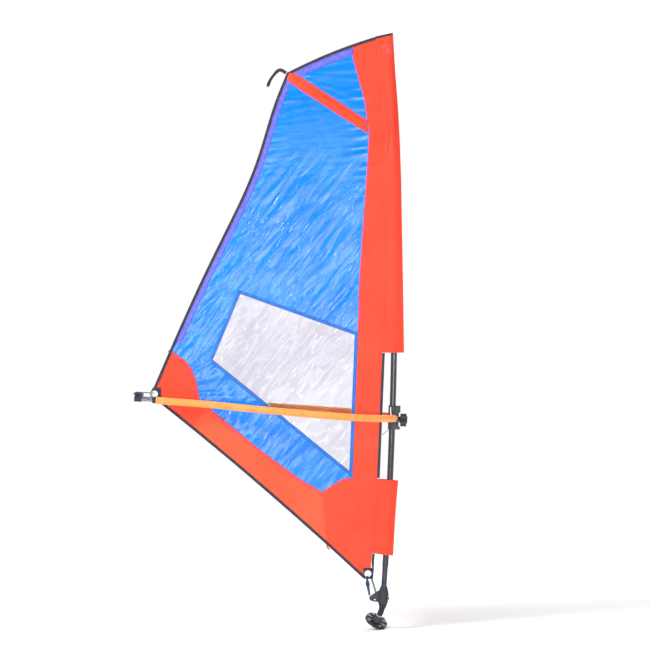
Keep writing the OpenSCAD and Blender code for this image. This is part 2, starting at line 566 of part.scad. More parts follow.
module batten_strap() color("black") in_row() sweep(strap_route, 4);

luff_panel();
foot_panel();
clew_panel();
main_panel();
head_panel();
window_film();
window_tape();
leech_tape();
head_tape();
leech_binding();
head_binding();
foot_binding();
luff_webbing();
sleeve_upper();
sleeve_lower();
batten_pocket();
batten();
batten_strap();
tack_patch();
tack_grommet();
clew_patch();
clew_ring();
mast_lower();
mast_upper();
mast_ferrule();
mast_top_plug();
extension_tube();
base_fitting();
base_axle();
base_sheave_near();
base_sheave_far();
downhaul_cleat();
release_button();
release_spring();
swivel_cup();
tendon();
tendon_ring();
foot_disc();
deck_stud();
arm_near();
arm_far();
grip_near();
grip_far();
boom_head();
clamp_liner();
clamp_pad();
clamp_knob();
collar_near();
collar_far();
tail_tubes();
tail_fitting();
tail_axle();
tail_sheave();
tail_cleat();
outhaul();
outhaul_bundle();
clew_lashing();
tie_line();
downhaul();
downhaul_bundle();
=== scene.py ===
import json
import math

import bpy
from mathutils import Matrix, Vector, geometry, noise
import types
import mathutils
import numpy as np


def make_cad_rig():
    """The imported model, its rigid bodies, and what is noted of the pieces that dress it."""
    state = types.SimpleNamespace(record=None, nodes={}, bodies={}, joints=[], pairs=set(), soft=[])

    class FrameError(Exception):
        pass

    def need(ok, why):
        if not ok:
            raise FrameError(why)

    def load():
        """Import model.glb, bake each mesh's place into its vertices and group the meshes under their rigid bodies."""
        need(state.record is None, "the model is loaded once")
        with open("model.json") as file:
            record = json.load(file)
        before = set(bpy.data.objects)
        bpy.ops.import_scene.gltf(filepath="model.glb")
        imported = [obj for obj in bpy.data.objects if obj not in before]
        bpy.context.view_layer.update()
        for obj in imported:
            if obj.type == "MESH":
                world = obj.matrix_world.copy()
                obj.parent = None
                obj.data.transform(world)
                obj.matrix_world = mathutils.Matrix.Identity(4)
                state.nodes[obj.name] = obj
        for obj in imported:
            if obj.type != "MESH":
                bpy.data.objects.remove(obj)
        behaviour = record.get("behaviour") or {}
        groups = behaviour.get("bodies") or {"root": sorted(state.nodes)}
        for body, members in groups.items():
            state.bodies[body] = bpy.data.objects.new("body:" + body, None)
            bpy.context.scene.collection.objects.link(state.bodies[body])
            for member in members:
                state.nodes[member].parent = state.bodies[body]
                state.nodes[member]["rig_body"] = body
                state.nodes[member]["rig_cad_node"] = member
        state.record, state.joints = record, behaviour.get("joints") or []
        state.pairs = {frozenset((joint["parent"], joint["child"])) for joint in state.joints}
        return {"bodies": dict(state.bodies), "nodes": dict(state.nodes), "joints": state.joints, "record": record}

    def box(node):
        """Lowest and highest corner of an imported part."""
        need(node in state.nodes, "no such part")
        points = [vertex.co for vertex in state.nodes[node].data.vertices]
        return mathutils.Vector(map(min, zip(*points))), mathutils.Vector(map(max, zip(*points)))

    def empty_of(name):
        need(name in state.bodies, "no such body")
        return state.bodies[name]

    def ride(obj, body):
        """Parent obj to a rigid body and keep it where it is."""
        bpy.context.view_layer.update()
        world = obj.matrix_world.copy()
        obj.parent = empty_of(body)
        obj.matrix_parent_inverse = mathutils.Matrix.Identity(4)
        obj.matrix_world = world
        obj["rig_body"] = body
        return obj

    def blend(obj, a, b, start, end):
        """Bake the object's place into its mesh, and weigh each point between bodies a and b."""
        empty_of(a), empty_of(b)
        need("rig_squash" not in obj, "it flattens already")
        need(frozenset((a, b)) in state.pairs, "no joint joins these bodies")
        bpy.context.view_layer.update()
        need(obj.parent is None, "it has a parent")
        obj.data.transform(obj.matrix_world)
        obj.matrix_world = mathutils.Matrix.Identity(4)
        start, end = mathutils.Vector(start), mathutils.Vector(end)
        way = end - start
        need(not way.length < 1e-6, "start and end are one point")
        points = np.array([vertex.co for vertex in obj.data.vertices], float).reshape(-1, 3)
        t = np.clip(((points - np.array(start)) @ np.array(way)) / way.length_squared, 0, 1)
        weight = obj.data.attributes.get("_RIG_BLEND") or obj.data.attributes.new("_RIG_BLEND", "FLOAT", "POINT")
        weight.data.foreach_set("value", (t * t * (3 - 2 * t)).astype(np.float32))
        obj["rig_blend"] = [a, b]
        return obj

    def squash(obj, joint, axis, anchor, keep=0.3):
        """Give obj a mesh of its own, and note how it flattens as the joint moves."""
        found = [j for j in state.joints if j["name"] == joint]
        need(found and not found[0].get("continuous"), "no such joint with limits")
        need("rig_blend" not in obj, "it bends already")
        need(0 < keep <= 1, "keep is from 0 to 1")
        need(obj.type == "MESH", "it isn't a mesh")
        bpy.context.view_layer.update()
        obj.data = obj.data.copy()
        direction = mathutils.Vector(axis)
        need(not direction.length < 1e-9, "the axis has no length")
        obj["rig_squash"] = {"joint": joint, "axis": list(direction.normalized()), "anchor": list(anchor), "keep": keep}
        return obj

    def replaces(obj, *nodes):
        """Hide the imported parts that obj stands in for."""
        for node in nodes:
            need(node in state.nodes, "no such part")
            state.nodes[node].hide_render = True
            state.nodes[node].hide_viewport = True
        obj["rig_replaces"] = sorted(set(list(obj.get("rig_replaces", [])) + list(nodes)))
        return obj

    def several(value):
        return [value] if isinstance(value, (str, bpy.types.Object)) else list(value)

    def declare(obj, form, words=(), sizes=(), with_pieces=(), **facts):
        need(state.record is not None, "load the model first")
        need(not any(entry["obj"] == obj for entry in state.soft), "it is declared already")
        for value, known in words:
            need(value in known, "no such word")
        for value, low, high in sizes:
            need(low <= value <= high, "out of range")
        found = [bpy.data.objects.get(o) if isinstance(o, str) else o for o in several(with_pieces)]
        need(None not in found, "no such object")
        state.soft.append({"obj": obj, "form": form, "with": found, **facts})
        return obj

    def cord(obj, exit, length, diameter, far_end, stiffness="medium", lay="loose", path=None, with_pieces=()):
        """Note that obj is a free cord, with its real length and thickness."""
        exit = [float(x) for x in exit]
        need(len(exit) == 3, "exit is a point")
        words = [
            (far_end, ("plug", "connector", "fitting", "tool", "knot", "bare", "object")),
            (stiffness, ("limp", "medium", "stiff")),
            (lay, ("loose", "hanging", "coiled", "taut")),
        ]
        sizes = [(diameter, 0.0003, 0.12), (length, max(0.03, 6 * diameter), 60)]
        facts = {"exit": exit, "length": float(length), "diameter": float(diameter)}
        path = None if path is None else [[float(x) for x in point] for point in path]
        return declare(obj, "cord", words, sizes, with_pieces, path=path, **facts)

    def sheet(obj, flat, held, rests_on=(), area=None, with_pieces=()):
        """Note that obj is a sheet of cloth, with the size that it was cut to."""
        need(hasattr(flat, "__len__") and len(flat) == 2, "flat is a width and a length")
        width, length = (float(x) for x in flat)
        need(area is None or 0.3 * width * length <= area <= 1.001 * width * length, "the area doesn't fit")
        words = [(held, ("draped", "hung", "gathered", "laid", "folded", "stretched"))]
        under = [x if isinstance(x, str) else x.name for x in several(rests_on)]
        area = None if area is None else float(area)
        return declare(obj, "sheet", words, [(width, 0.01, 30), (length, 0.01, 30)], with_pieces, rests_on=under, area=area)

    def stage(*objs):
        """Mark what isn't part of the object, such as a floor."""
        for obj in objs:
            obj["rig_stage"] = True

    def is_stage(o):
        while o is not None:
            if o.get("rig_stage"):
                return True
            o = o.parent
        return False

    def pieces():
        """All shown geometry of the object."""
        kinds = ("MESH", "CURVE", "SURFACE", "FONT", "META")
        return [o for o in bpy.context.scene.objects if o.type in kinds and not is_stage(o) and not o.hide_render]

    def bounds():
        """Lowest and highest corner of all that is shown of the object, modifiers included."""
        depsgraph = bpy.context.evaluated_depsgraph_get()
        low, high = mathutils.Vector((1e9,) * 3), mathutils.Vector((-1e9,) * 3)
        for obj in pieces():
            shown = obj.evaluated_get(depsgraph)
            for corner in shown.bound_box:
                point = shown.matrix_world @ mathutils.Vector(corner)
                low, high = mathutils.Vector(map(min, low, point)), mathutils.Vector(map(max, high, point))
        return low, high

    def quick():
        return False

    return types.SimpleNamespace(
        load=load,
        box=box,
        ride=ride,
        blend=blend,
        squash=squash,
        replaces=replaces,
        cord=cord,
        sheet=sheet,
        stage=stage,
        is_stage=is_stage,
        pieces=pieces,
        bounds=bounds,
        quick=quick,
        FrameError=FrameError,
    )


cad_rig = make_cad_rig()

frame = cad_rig.load()
CAD_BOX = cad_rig.bounds()
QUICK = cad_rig.quick()

# ---------------------------------------------------------------- the sail's own frame
# Lengths below are in millimetres in the sail's frame: X towards the mast, Y away from the
# viewer, Z up. window_film and main_panel say where that frame lies in the row.
MM = 0.001
WINDOW = [(-598, 1449), (-719, 1159), (-119, 669), (-96, 1269)]
film_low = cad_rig.box("window_film")[0]
cloth_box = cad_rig.box("main_panel")
CLOTH_MIDDLE = (cloth_box[0][1] + cloth_box[1][1]) / 2
OFFSET = Vector((film_low[0] - WINDOW[1][0] * MM, CLOTH_MIDDLE, film_low[2] - WINDOW[2][1] * MM))

MAST_BEND = 20850               # radius of the mast's bend
MAST_MID = (80, 1545)           # X and Z where the bent mast stands upright


def at(x, y, z):
    """The row frame's place of a point of the sail's frame."""
    return OFFSET + Vector((x, y, z)) * MM


def mast_x(z):
    return MAST_MID[0] - MAST_BEND + math.sqrt(MAST_BEND**2 - (z - MAST_MID[1]) ** 2)


def mast_lean(z):
    return math.asin((MAST_MID[1] - z) / MAST_BEND)


class Place:
    """A tilted frame on the rig: an origin in the sail's frame and a rotation."""

    def __init__(self, origin, rotation):
        self.origin, self.rotation = Vector(origin), rotation

    def __call__(self, x, y, z):
        p = self.origin + self.rotation @ Vector((x, y, z))
        return at(p.x, p.y, p.z)


def turn_y(angle):
    return Matrix.Rotation(angle, 3, "Y")


def turn_z(angle):
    return Matrix.Rotation(angle, 3, "Z")


BOOM_Z, FOOT_Z = 904, 55.7
BOOM_AT = (mast_x(BOOM_Z), 0, BOOM_Z)
FOOT_AT = (mast_x(FOOT_Z), 0, FOOT_Z)
BEND, BEND_TURN = math.radians(31), math.radians(-51)
boom = Place(BOOM_AT, turn_y(math.radians(4.36)))
clamp = Place(BOOM_AT, turn_y(mast_lean(BOOM_Z)))
foot = Place(FOOT_AT, turn_y(mast_lean(FOOT_Z)))
disc = Place(FOOT_AT, turn_y(mast_lean(FOOT_Z)) @ turn_z(BEND_TURN) @ turn_y(BEND) @ turn_z(-BEND_TURN))

# ---------------------------------------------------------------- camera
CAMERA_AT = Vector((-0.225, -11.0, 1.834))
CAMERA_TO = Vector((-0.225, -0.029, 1.317))
camera = bpy.data.objects.new("camera", bpy.data.cameras.new("camera"))
bpy.context.collection.objects.link(camera)
camera.data.lens = 138.5
camera.data.sensor_width = 36
camera.data.clip_end = 200
camera.location = CAMERA_AT
camera.rotation_euler = (CAMERA_TO - CAMERA_AT).to_track_quat("-Z", "Y").to_euler()
bpy.context.scene.camera = camera


# ---------------------------------------------------------------- mesh helpers
def add_mesh(name, verts, faces, material):
    mesh = bpy.data.meshes.new(name)
    mesh.from_pydata([tuple(v) for v in verts], [], faces)
    mesh.validate()
    mesh.shade_smooth()
    obj = bpy.data.objects.new(name, mesh)
    bpy.context.collection.objects.link(obj)
    mesh.materials.append(MATERIALS[material])
    return obj


def loft(rings, closed_ends=True):
    """Vertices and faces through rings of equal size, each one a list of points."""
    n = len(rings[0])
    verts = [p for ring in rings for p in ring]
    faces = []
    for k in range(len(rings) - 1):
        for i in range(n):
            j = (i + 1) % n
            faces.append((k * n + i, k * n + j, (k + 1) * n + j, (k + 1) * n + i))
    if closed_ends:
        last = (len(rings) - 1) * n
        faces.append(tuple(range(n - 1, -1, -1)))
        faces.append(tuple(last + i for i in range(n)))
    return verts, faces


def smooth_curve(points, step):
    """Points about step apart on a Catmull-Rom curve through points (Vectors)."""
    pts = [2 * points[0] - points[1]] + list(points) + [2 * points[-1] - points[-2]]
    out = []
    for i in range(1, len(pts) - 2):
        a, b, c, d = pts[i - 1 : i + 3]
        n = max(2, round((c - b).length / step))
        for k in range(n):
            t = k / n
            out.append(
                0.5
                * (2 * b + (c - a) * t + (2 * a - 5 * b + 4 * c - d) * t * t + (3 * b - a - 3 * c + d) * t**3)
            )
    out.append(pts[-2].copy())
    return out


def directions(path):
    n = len(path)
    return [(path[min(i + 1, n - 1)] - path[max(i - 1, 0)]).normalized() for i in range(n)]


def frames_along(path):
    """(side, up) pairs that turn as little as they can along the path."""
    out, up = [], Vector((0, 1, 0))
    for d in directions(path):
        side = d.cross(up)
        if side.length < 0.05:
            side = d.orthogonal()
        side.normalize()
        up = side.cross(d).normalized()
        out.append((side, up))
    return out


def tube_rings(path, radius, sides):
    """Rings round a path; radius is a number or a function of (index, angle)."""
    rings = []
    for k, (p, (side, up)) in enumerate(zip(path, frames_along(path))):
        ring = []
        for i in range(sides):
            a = 2 * math.pi * i / sides
            r = radius(k, a) if callable(radius) else radius
            ring.append(p + side * (r * math.cos(a)) + up * (r * math.sin(a)))
        rings.append(ring)
    return rings


def join_parts(parts):
    """One vertex and face list from several."""
    verts, faces = [], []
    for v, f in parts:
        base = len(verts)
        verts += v
        faces += [tuple(i + base for i in face) for face in f]
    return verts, faces


# ---------------------------------------------------------------- materials
MATERIALS = {}


def linear(rgb):
    """Linear colour of an sRGB one given in 0 to 255."""
    return [((c / 255 + 0.055) / 1.055) ** 2.4 if c > 10.3 else c / 255 / 12.92 for c in rgb]


class Shader:
    """Short names for the nodes that the materials below share."""

    def __init__(self, name):
        self.mat = bpy.data.materials.new(name)
        self.mat.use_nodes = True
        self.tree = self.mat.node_tree
        self.bsdf = self.tree.nodes["Principled BSDF"]
        self.coords = self.add("ShaderNodeTexCoord").outputs["Object"]
        MATERIALS[name] = self.mat

    def add(self, kind, **settings):
        node = self.tree.nodes.new(kind)
        for key, value in settings.items():
            setattr(node, key, value)
        return node

    def link(self, a, b):
        self.tree.links.new(a, b)

    def stretch(self, rotation, scale):
        mapping = self.add("ShaderNodeMapping", vector_type="TEXTURE")
        self.link(self.coords, mapping.inputs["Vector"])
        mapping.inputs["Rotation"].default_value = rotation
        mapping.inputs["Scale"].default_value = [1 / v for v in scale]
        return mapping.outputs["Vector"]

    def noise(self, scale, detail=3, vector=None, rough=0.55):
        node = self.add("ShaderNodeTexNoise")
        self.link(vector or self.coords, node.inputs["Vector"])
        node.inputs["Scale"].default_value = scale
        node.inputs["Detail"].default_value = detail
        node.inputs["Roughness"].default_value = rough
        return node.outputs["Fac"]

    def wave(self, scale, direction, vector=None):
        node = self.add("ShaderNodeTexWave", wave_type="BANDS", bands_direction=direction, wave_profile="SIN")
        self.link(vector or self.coords, node.inputs["Vector"])
        node.inputs["Scale"].default_value = scale
        return node.outputs["Fac"]

    def spread(self, fac, low, high, from_low=0.3, from_high=0.7):
        node = self.add("ShaderNodeMapRange")
        self.link(fac, node.inputs["Value"])
        for key, value in (("From Min", from_low), ("From Max", from_high), ("To Min", low),
                           ("To Max", high)):
            node.inputs[key].default_value = value
        return node.outputs["Result"]

    def math(self, operation, a, b):
        node = self.add("ShaderNodeMath", operation=operation)
        for socket, value in zip(node.inputs, (a, b)):
            if isinstance(value, (int, float)):
                socket.default_value = value
            else:
                self.link(value, socket)
        return node.outputs[0]

    def ramp(self, fac, stops):
        node = self.add("ShaderNodeValToRGB")
        self.link(fac, node.inputs["Fac"])
        elements = node.color_ramp.elements
        while len(elements) < len(stops):
            elements.new(0.5)
        for element, (place, rgb) in zip(elements, stops):
            element.position = place
            element.color = (*linear(rgb), 1)
        self.link(node.outputs["Color"], self.bsdf.inputs["Base Color"])
        return node.outputs["Color"]

    def bump(self, height, strength, distance):
        node = self.add("ShaderNodeBump")
        node.inputs["Strength"].default_value = strength
        node.inputs["Distance"].default_value = distance
        self.link(height, node.inputs["Height"])
        old = self.bsdf.inputs["Normal"].links
        if old:
            self.link(old[0].from_socket, node.inputs["Normal"])
        self.link(node.outputs["Normal"], self.bsdf.inputs["Normal"])

    def set(self, **values):
        for key, value in values.items():
            self.bsdf.inputs[key.replace("_", " ")].default_value = value


WEAVE, MOTTLE, TWILL_ROWS = 260, 3.0, 420
BRUSHING = (60, 60, 1400)


def cloth_material(name, dark, light, roughness, sheen, coat=0.0, creased=0.0):
    """Coated nylon: a fine square weave, mottled colour and faint rub marks."""
    s = Shader(name)
    broad = s.noise(MOTTLE, 4)
    s.ramp(broad, [(0.25, dark), (0.75, light)])
    s.link(s.spread(s.noise(14, 5), roughness - 0.07, roughness + 0.09), s.bsdf.inputs["Roughness"])
    square = s.math("ADD", s.wave(WEAVE, "X"), s.wave(WEAVE, "Z"))
    s.bump(square, 0.12, 0.0002)
    s.bump(s.noise(55, 4), 0.2, 0.001)
    if creased:
        along = s.stretch((0, math.radians(37), 0), (4.6, 1, 1))
        fold = s.math("ABSOLUTE", s.math("SUBTRACT", s.noise(7, 3, along, 0.5), 0.5), 0)
        up = s.add("ShaderNodeSeparateXYZ")
        s.link(s.coords, up.inputs[0])
        low = s.spread(up.outputs["Z"], 1, 0, 1.85, 2.1)
        s.bump(s.math("MULTIPLY", s.spread(fold, 1, 0, 0, 0.06), low), 0.7, creased)
    s.set(Sheen_Weight=sheen, Sheen_Roughness=0.4, Specular_IOR_Level=0.3, Coat_Weight=coat,
          Coat_Roughness=0.22)


def webbing_material(name, dark, light, roughness=0.72):
    s = Shader(name)
    slanted = s.stretch((0, math.radians(40), 0), (1, 1, 1))
    twill = s.math("MULTIPLY", s.wave(TWILL_ROWS, "X", slanted), s.wave(TWILL_ROWS, "Z", slanted))
    mottled = s.math("MULTIPLY", s.noise(60, 3), s.spread(twill, 0.75, 1.2, 0, 1))
    s.ramp(mottled, [(0.2, dark), (0.7, light)])
    s.link(s.spread(s.noise(40), roughness - 0.08, roughness + 0.1), s.bsdf.inputs["Roughness"])
    s.bump(twill, 0.5, 0.0005)
    s.set(Sheen_Weight=0.15)


def moulded_material(name, dark, light, roughness, grain=900, depth=0.00012, **extra):
    """Moulded plastic or rubber: fine grain, small patches of polish, and a little dust."""
    s = Shader(name)
    s.ramp(s.noise(26, 5), [(0.3, dark), (0.72, light)])
    s.link(s.spread(s.noise(34, 4), roughness - 0.1, roughness + 0.14), s.bsdf.inputs["Roughness"])
    s.bump(s.noise(grain, 2), 0.35, depth)
    s.set(**extra)


def metal_material(name, dark, light, roughness):
    s = Shader(name)
    brushed = s.noise(1.0, 3, s.stretch((0, 0, 0), BRUSHING))
    s.ramp(brushed, [(0.3, dark), (0.7, light)])
    s.link(s.spread(brushed, roughness - 0.06, roughness + 0.1), s.bsdf.inputs["Roughness"])
    s.bump(brushed, 0.15, 0.0001)
    s.set(Metallic=1.0)


def rope_material(name, dark, light, fleck):
    """Braided cord: the braid is in the mesh, so this adds threads and flecks."""
    s = Shader(name)
    threads = s.noise(700, 2)
    s.ramp(threads, [(0.3, dark), (0.55, light), (0.72, fleck)])
    s.link(s.spread(threads, 0.6, 0.85), s.bsdf.inputs["Roughness"])
    s.bump(s.noise(1500, 2), 0.6, 0.0003)
    s.set(Sheen_Weight=0.25)


def film_material(name):
    """Clear vinyl: see-through with a lilac cast, its gloss broken by handling creases; the crests of the creases are
    tinted white as painted glints.
    """
    s = Shader(name)
    fine = s.noise(13, 3, s.stretch((0, math.radians(38), 0), (6, 1, 1)), 0.5)
    # Painted glints: the thin crest lines of the crease noise are tinted white in the film's own colour.
    painted_glints = s.spread(fine, 0, 0.9, 0.67, 0.69)
    s.ramp(s.math("ADD", painted_glints, s.noise(2.2, 2)),
           [(0.3, (216, 212, 230)), (0.7, (242, 240, 248)), (1.0, (255, 255, 255))])
    s.link(s.spread(fine, 0.06, 0.16), s.bsdf.inputs["Roughness"])
    s.bump(fine, 0.4, 0.0014)
    s.set(Transmission_Weight=1.0, IOR=1.22)


def make_materials():
    red = dict(roughness=0.5, sheen=0.04)
    cloth_material("red_cloth", (240, 60, 34), (249, 76, 46), **red)
    # A lighter copy of the red cloth for the foot panel: painted backlight, as if the panel were lit through from
    # behind.
    cloth_material("red_painted_backlit", (244, 74, 40), (252, 94, 58), **red)
    cloth_material("red_sleeve", (238, 58, 34), (248, 74, 46), **red)
    cloth_material("blue_cloth", (0, 116, 238), (0, 134, 249), roughness=0.2, sheen=0.0, coat=0.4,
                   creased=0.0026)
    webbing_material("blue_tape", (20, 104, 206), (44, 134, 232), 0.6)
    webbing_material("violet_tape", (84, 84, 206), (122, 122, 232), 0.42)
    webbing_material("black_webbing", (22, 20, 32), (52, 48, 66))
    rope_material("lilac_thread", (56, 60, 190), (84, 84, 214), (140, 140, 240))
    rope_material("blue_thread", (8, 40, 104), (16, 58, 134), (40, 90, 170))
    rope_material("dark_thread", (120, 26, 24), (168, 44, 36), (196, 70, 56))
    rope_material("black_thread", (92, 88, 108), (134, 130, 150), (180, 176, 194))
    rope_material("navy_rope", (10, 30, 58), (20, 58, 92), (40, 120, 140))
    rope_material("grey_rope", (96, 108, 122), (132, 148, 160), (70, 150, 158))
    film_material("window_clear")
    moulded_material("black_plastic", (24, 23, 34), (46, 44, 58), 0.42)
    moulded_material("button_plastic", (30, 30, 38), (54, 54, 64), 0.32)
    moulded_material("grey_plastic", (96, 98, 106), (128, 130, 138), 0.4)
    moulded_material("white_plastic", (214, 218, 222), (238, 240, 244), 0.28)
    moulded_material("black_rubber", (18, 17, 26), (36, 34, 46), 0.62, 500, 0.0003)
    moulded_material("batten_white", (222, 216, 196), (236, 232, 216), 0.3)
    moulded_material("orange_foam", (248, 144, 56), (253, 163, 78), 0.66, 620, 0.0007, Sheen_Weight=0.3)
    moulded_material("mast_black", (7, 7, 18), (16, 15, 36), 0.3, 240, 0.0001, Coat_Weight=0.5,
                     Coat_Roughness=0.12)
    moulded_material("mast_grey", (52, 52, 64), (78, 78, 92), 0.34, 700, 0.0001, Metallic=0.8)
    metal_material("steel", (188, 190, 198), (232, 234, 240), 0.24)
    metal_material("tube_alloy", (120, 116, 138), (168, 164, 184), 0.34)


make_materials()


BEVELS = {
    "boom_head": 2.2, "clamp_pad": 0.6, "base_fitting": 1.2, "downhaul_cleat": 0.8, "release_button": 0.5,
    "swivel_cup": 0.6, "foot_disc": 1.4, "collar_near": 0.8, "collar_far": 0.8, "tail_fitting": 1.6,
    "tail_cleat": 0.8, "base_axle": 0.5, "tail_axle": 0.5, "tendon_ring": 0.5, "clew_ring": 0.5,
          "tack_grommet": 0.5,
    "mast_top_plug": 0.8, "clamp_knob": 1.6,
}


def paint_cad():
    """Every CAD node gets its material, and the nodes listed in BEVELS get softened edges."""
    for part in frame["record"]["subparts"]:
        node = frame["nodes"][part["node"]]
        node.data.materials.clear()
        node.data.materials.append(MATERIALS[part["material_slot"]])
        for face in node.data.polygons:
            face.material_index = 0
        if part["node"] in BEVELS:
            bevel = node.modifiers.new("edge", "BEVEL")
            bevel.width = BEVELS[part["node"]] * MM
            bevel.segments = 3
            bevel.limit_method = "ANGLE"
            bevel.angle_limit = math.radians(32)
            bevel.harden_normals = True


paint_cad()

# ---------------------------------------------------------------- sail outline
HEAD_SEAM = Vector((0, 2574))
HEAD_CORNER = Vector((-393, 2416))
CLEW_TOP = Vector((-982, 1032))
CLEW_CORNER = [Vector((-998, 1012)), Vector((-992, 988))]
FOOT_START = Vector((-947, 964))
TACK_CORNER = Vector((-56, 192))
LUFF = [Vector(p) for p in [(-27, 192), (-21, 274), (3, 637), (25, 1189), (39, 2127), (35, 2173), (28, 2264)]]
HEAD_BULGE, FOOT_HOLLOW, LEECH_HOLLOW, HOLLOW_AT = 11, 15, 31, 0.34
CLEW_RING = Vector((-975, 1009))
TACK_RING = Vector((-37, 214))
EDGE_STEP = 8.0                 # distance between points on an edge
BINDING_W, LEECH_TAPE_W, HEAD_TAPE_W, WINDOW_TAPE_W = 13, 22, 31, 15


def left_of(v):
    return Vector((-v.y, v.x))


def leech_point(s):
    hollow = math.exp(4.5 * (math.log(s / HOLLOW_AT) + 1 - s / HOLLOW_AT)) * (1 - s**8) if s > 0 else 0
    return HEAD_CORNER.lerp(CLEW_TOP,
                            s) + left_of((CLEW_TOP - HEAD_CORNER).normalized()) * LEECH_HOLLOW * hollow


def steps(length):
    n = round(length / EDGE_STEP)
    return [i / n for i in range(n + 1)]


head_line = [HEAD_SEAM.lerp(HEAD_CORNER, t) + Vector((0, 4 * HEAD_BULGE * t * (1 - t)))
             for t in steps((HEAD_CORNER - HEAD_SEAM).length)]
leech_line = [leech_point(s) for s in steps((CLEW_TOP - HEAD_CORNER).length)]
foot_line = [FOOT_START.lerp(TACK_CORNER, t) + Vector((0, 4 * FOOT_HOLLOW * t * (1 - t)))
             for t in steps((TACK_CORNER - FOOT_START).length)]
outline = head_line + leech_line[1:] + CLEW_CORNER + foot_line + LUFF

POCKET = [(-440, 2470.5), (-40, 2208), (-40, 2150), (-455, 2420)]
LUFF_SEAM = [(-115, 2700), (-115, 2525), (-52, 2293), (-40, 2208), (-32, 2142), (-44, 1950), (-50, 1869),
             (-74, 1511)]
LUFF_LOW = [(-150, 632), (-239, 575)]
FOOT_SEAM = [(-239, 575), (-332, 628), (-512, 761), (-740, 950)]
CLEW_SEAM = [(-740, 950), (-778, 984), (-786, 1025), (-790, 1058), (-812, 1117), (-843, 1158), (-904, 1197),
             (-1000, 1240)]
FOOT_CUT = [(-239, 575), (-215, 330), (-215, 100)]
CLEW_CUT = [(-740, 950), (-815, 850), (-900, 700)]


def vectors(points):
    return [Vector(p) for p in points]


def offset_loop(points, distance):
    """A closed loop of corners moved out by a distance."""
    out, n = [], len(points)
    for i in range(n):
        a, b, c = (Vector(points[(i + k) % n]) for k in (-1, 0, 1))
        na, nb = left_of((b - a).normalized()), left_of((c - b).normalized())
        out.append(b - (na + nb) / (1 + na.dot(nb)) * distance)
    return out


WINDOW_OUT = offset_loop(WINDOW, WINDOW_TAPE_W)


def shifted(line, distance):
    """A dense line moved to its left by a distance, or by a function of its place 0 to 1."""
    last = len(line) - 1
    out = []
    for i, p in enumerate(line):
        d = (line[min(i + 1, last)] - line[max(i - 1, 0)]).normalized()
        out.append(p + left_of(d) * (distance(i / last) if callable(distance) else distance))
    return out


def dense(points, step=EDGE_STEP):
    out = []
    pts = vectors(points)
    for a, b in zip(pts, pts[1:]):
        n = max(1, round((b - a).length / step))
        out += [a.lerp(b, i / n) for i in range(n)]
    return out + [pts[-1]]


def inside(p, loop):
    hit = False
    x, y = p
    j = len(loop) - 1
    for i in range(len(loop)):
        (xi, yi), (xj, yj) = loop[i], loop[j]
        if (yi > y) != (yj > y) and x < (xj - xi) * (y - yi) / (yj - yi) + xi:
            hit = not hit
        j = i
    return hit


# ---------------------------------------------------------------- cloth relief
def ease(a, b, x):
    t = min(1, max(0, (x - a) / (b - a)))
    return t * t * (3 - 2 * t)


def ridge(v):
    """Soft creases: a noise value bent so that its zero line is a fold."""
    return 0.5 - math.sqrt(v * v + 0.004) * 1.8


def perlin(a, b, c):
    return noise.noise(Vector((a, b, c)))


def corner_pull(x, z, corner, spokes, reach, seed):
    """Creases that radiate from a corner under tension."""
    dx, dz = x - corner.x, z - corner.y
    r = math.hypot(dx, dz)
    return perlin(math.atan2(dz, dx) * spokes, r / 420, seed) * math.exp(-r / reach) * ease(8, 90, r)


def leech_x(z):
    """X of the leech at a height."""
    s = min(1, max(0, (HEAD_CORNER.y - z) / (HEAD_CORNER.y - CLEW_TOP.y)))
    return leech_point(s).x


def sail_y(x, z):
    """Height of the cloth's relief in millimetres, the same for every layer."""
    fade = ease(0, 70, mast_x(z) - 42 - x)
    if fade == 0:
        return 0.0
    from_leech = max(0, x - leech_x(z)) if z > CLEW_TOP.y else 400
    slant, slope = 0.6 * x + 0.8 * z, 0.8 * x - 0.6 * z
    y = 4.0 * perlin(x / 330, z / 410, 1.7)
    # Short creases at right angles to the leech, and a few from the luff seam, high in the sail.
    high = ease(1750, 2050, z)
    tilt = z - 0.12 * x
    near = math.exp(-from_leech / 75) + 0.8 * math.exp(-max(0, -36 - x) / 60)
    y += high * near * (2.6 * perlin(tilt / 17, x / 150, 5.1) + 1.3 * perlin(tilt / 9, x / 90, 2.5))
    # Creases that run up towards the luff below the middle, shorter and tangled by the leech.
    low = 1 - ease(1900, 2120, z)
    tangle = math.exp(-from_leech / 110)
    warp = 14 * perlin(x / 70, z / 70, 6.6)
    y += low * (2.6 * ridge(perlin((slope + warp) / 52, slant / 300,
                                   2.2)) + 1.5 * ridge(perlin(slope / 27, slant / 190, 8.2)))
    y += low * tangle * (1.6 * ridge(perlin((slope + 2 * warp) / 22, slant / 55,
                                            4.9)) + 0.8 * perlin(slope / 12, slant / 26, 1.9))
    y += 5.5 * corner_pull(x, z, CLEW_RING, 11, 300, 3.3)
    y += 6.5 * corner_pull(x, z, TACK_RING, 9, 260, 6.1)
    y += 2.2 * corner_pull(x, z, HEAD_CORNER, 12, 170, 8.8)
    if z < 1470 and inside((x, z), WINDOW):
        y += 1.3 * ridge(perlin((slope + warp) / 24, slant / 60,
                                7.7)) + 0.7 * ridge(perlin(slope / 15, slant / 34, 4.4))
    return y * fade


def on_sail(x, z, lift=0.0):
    return at(x, sail_y(x, z) + lift, z)


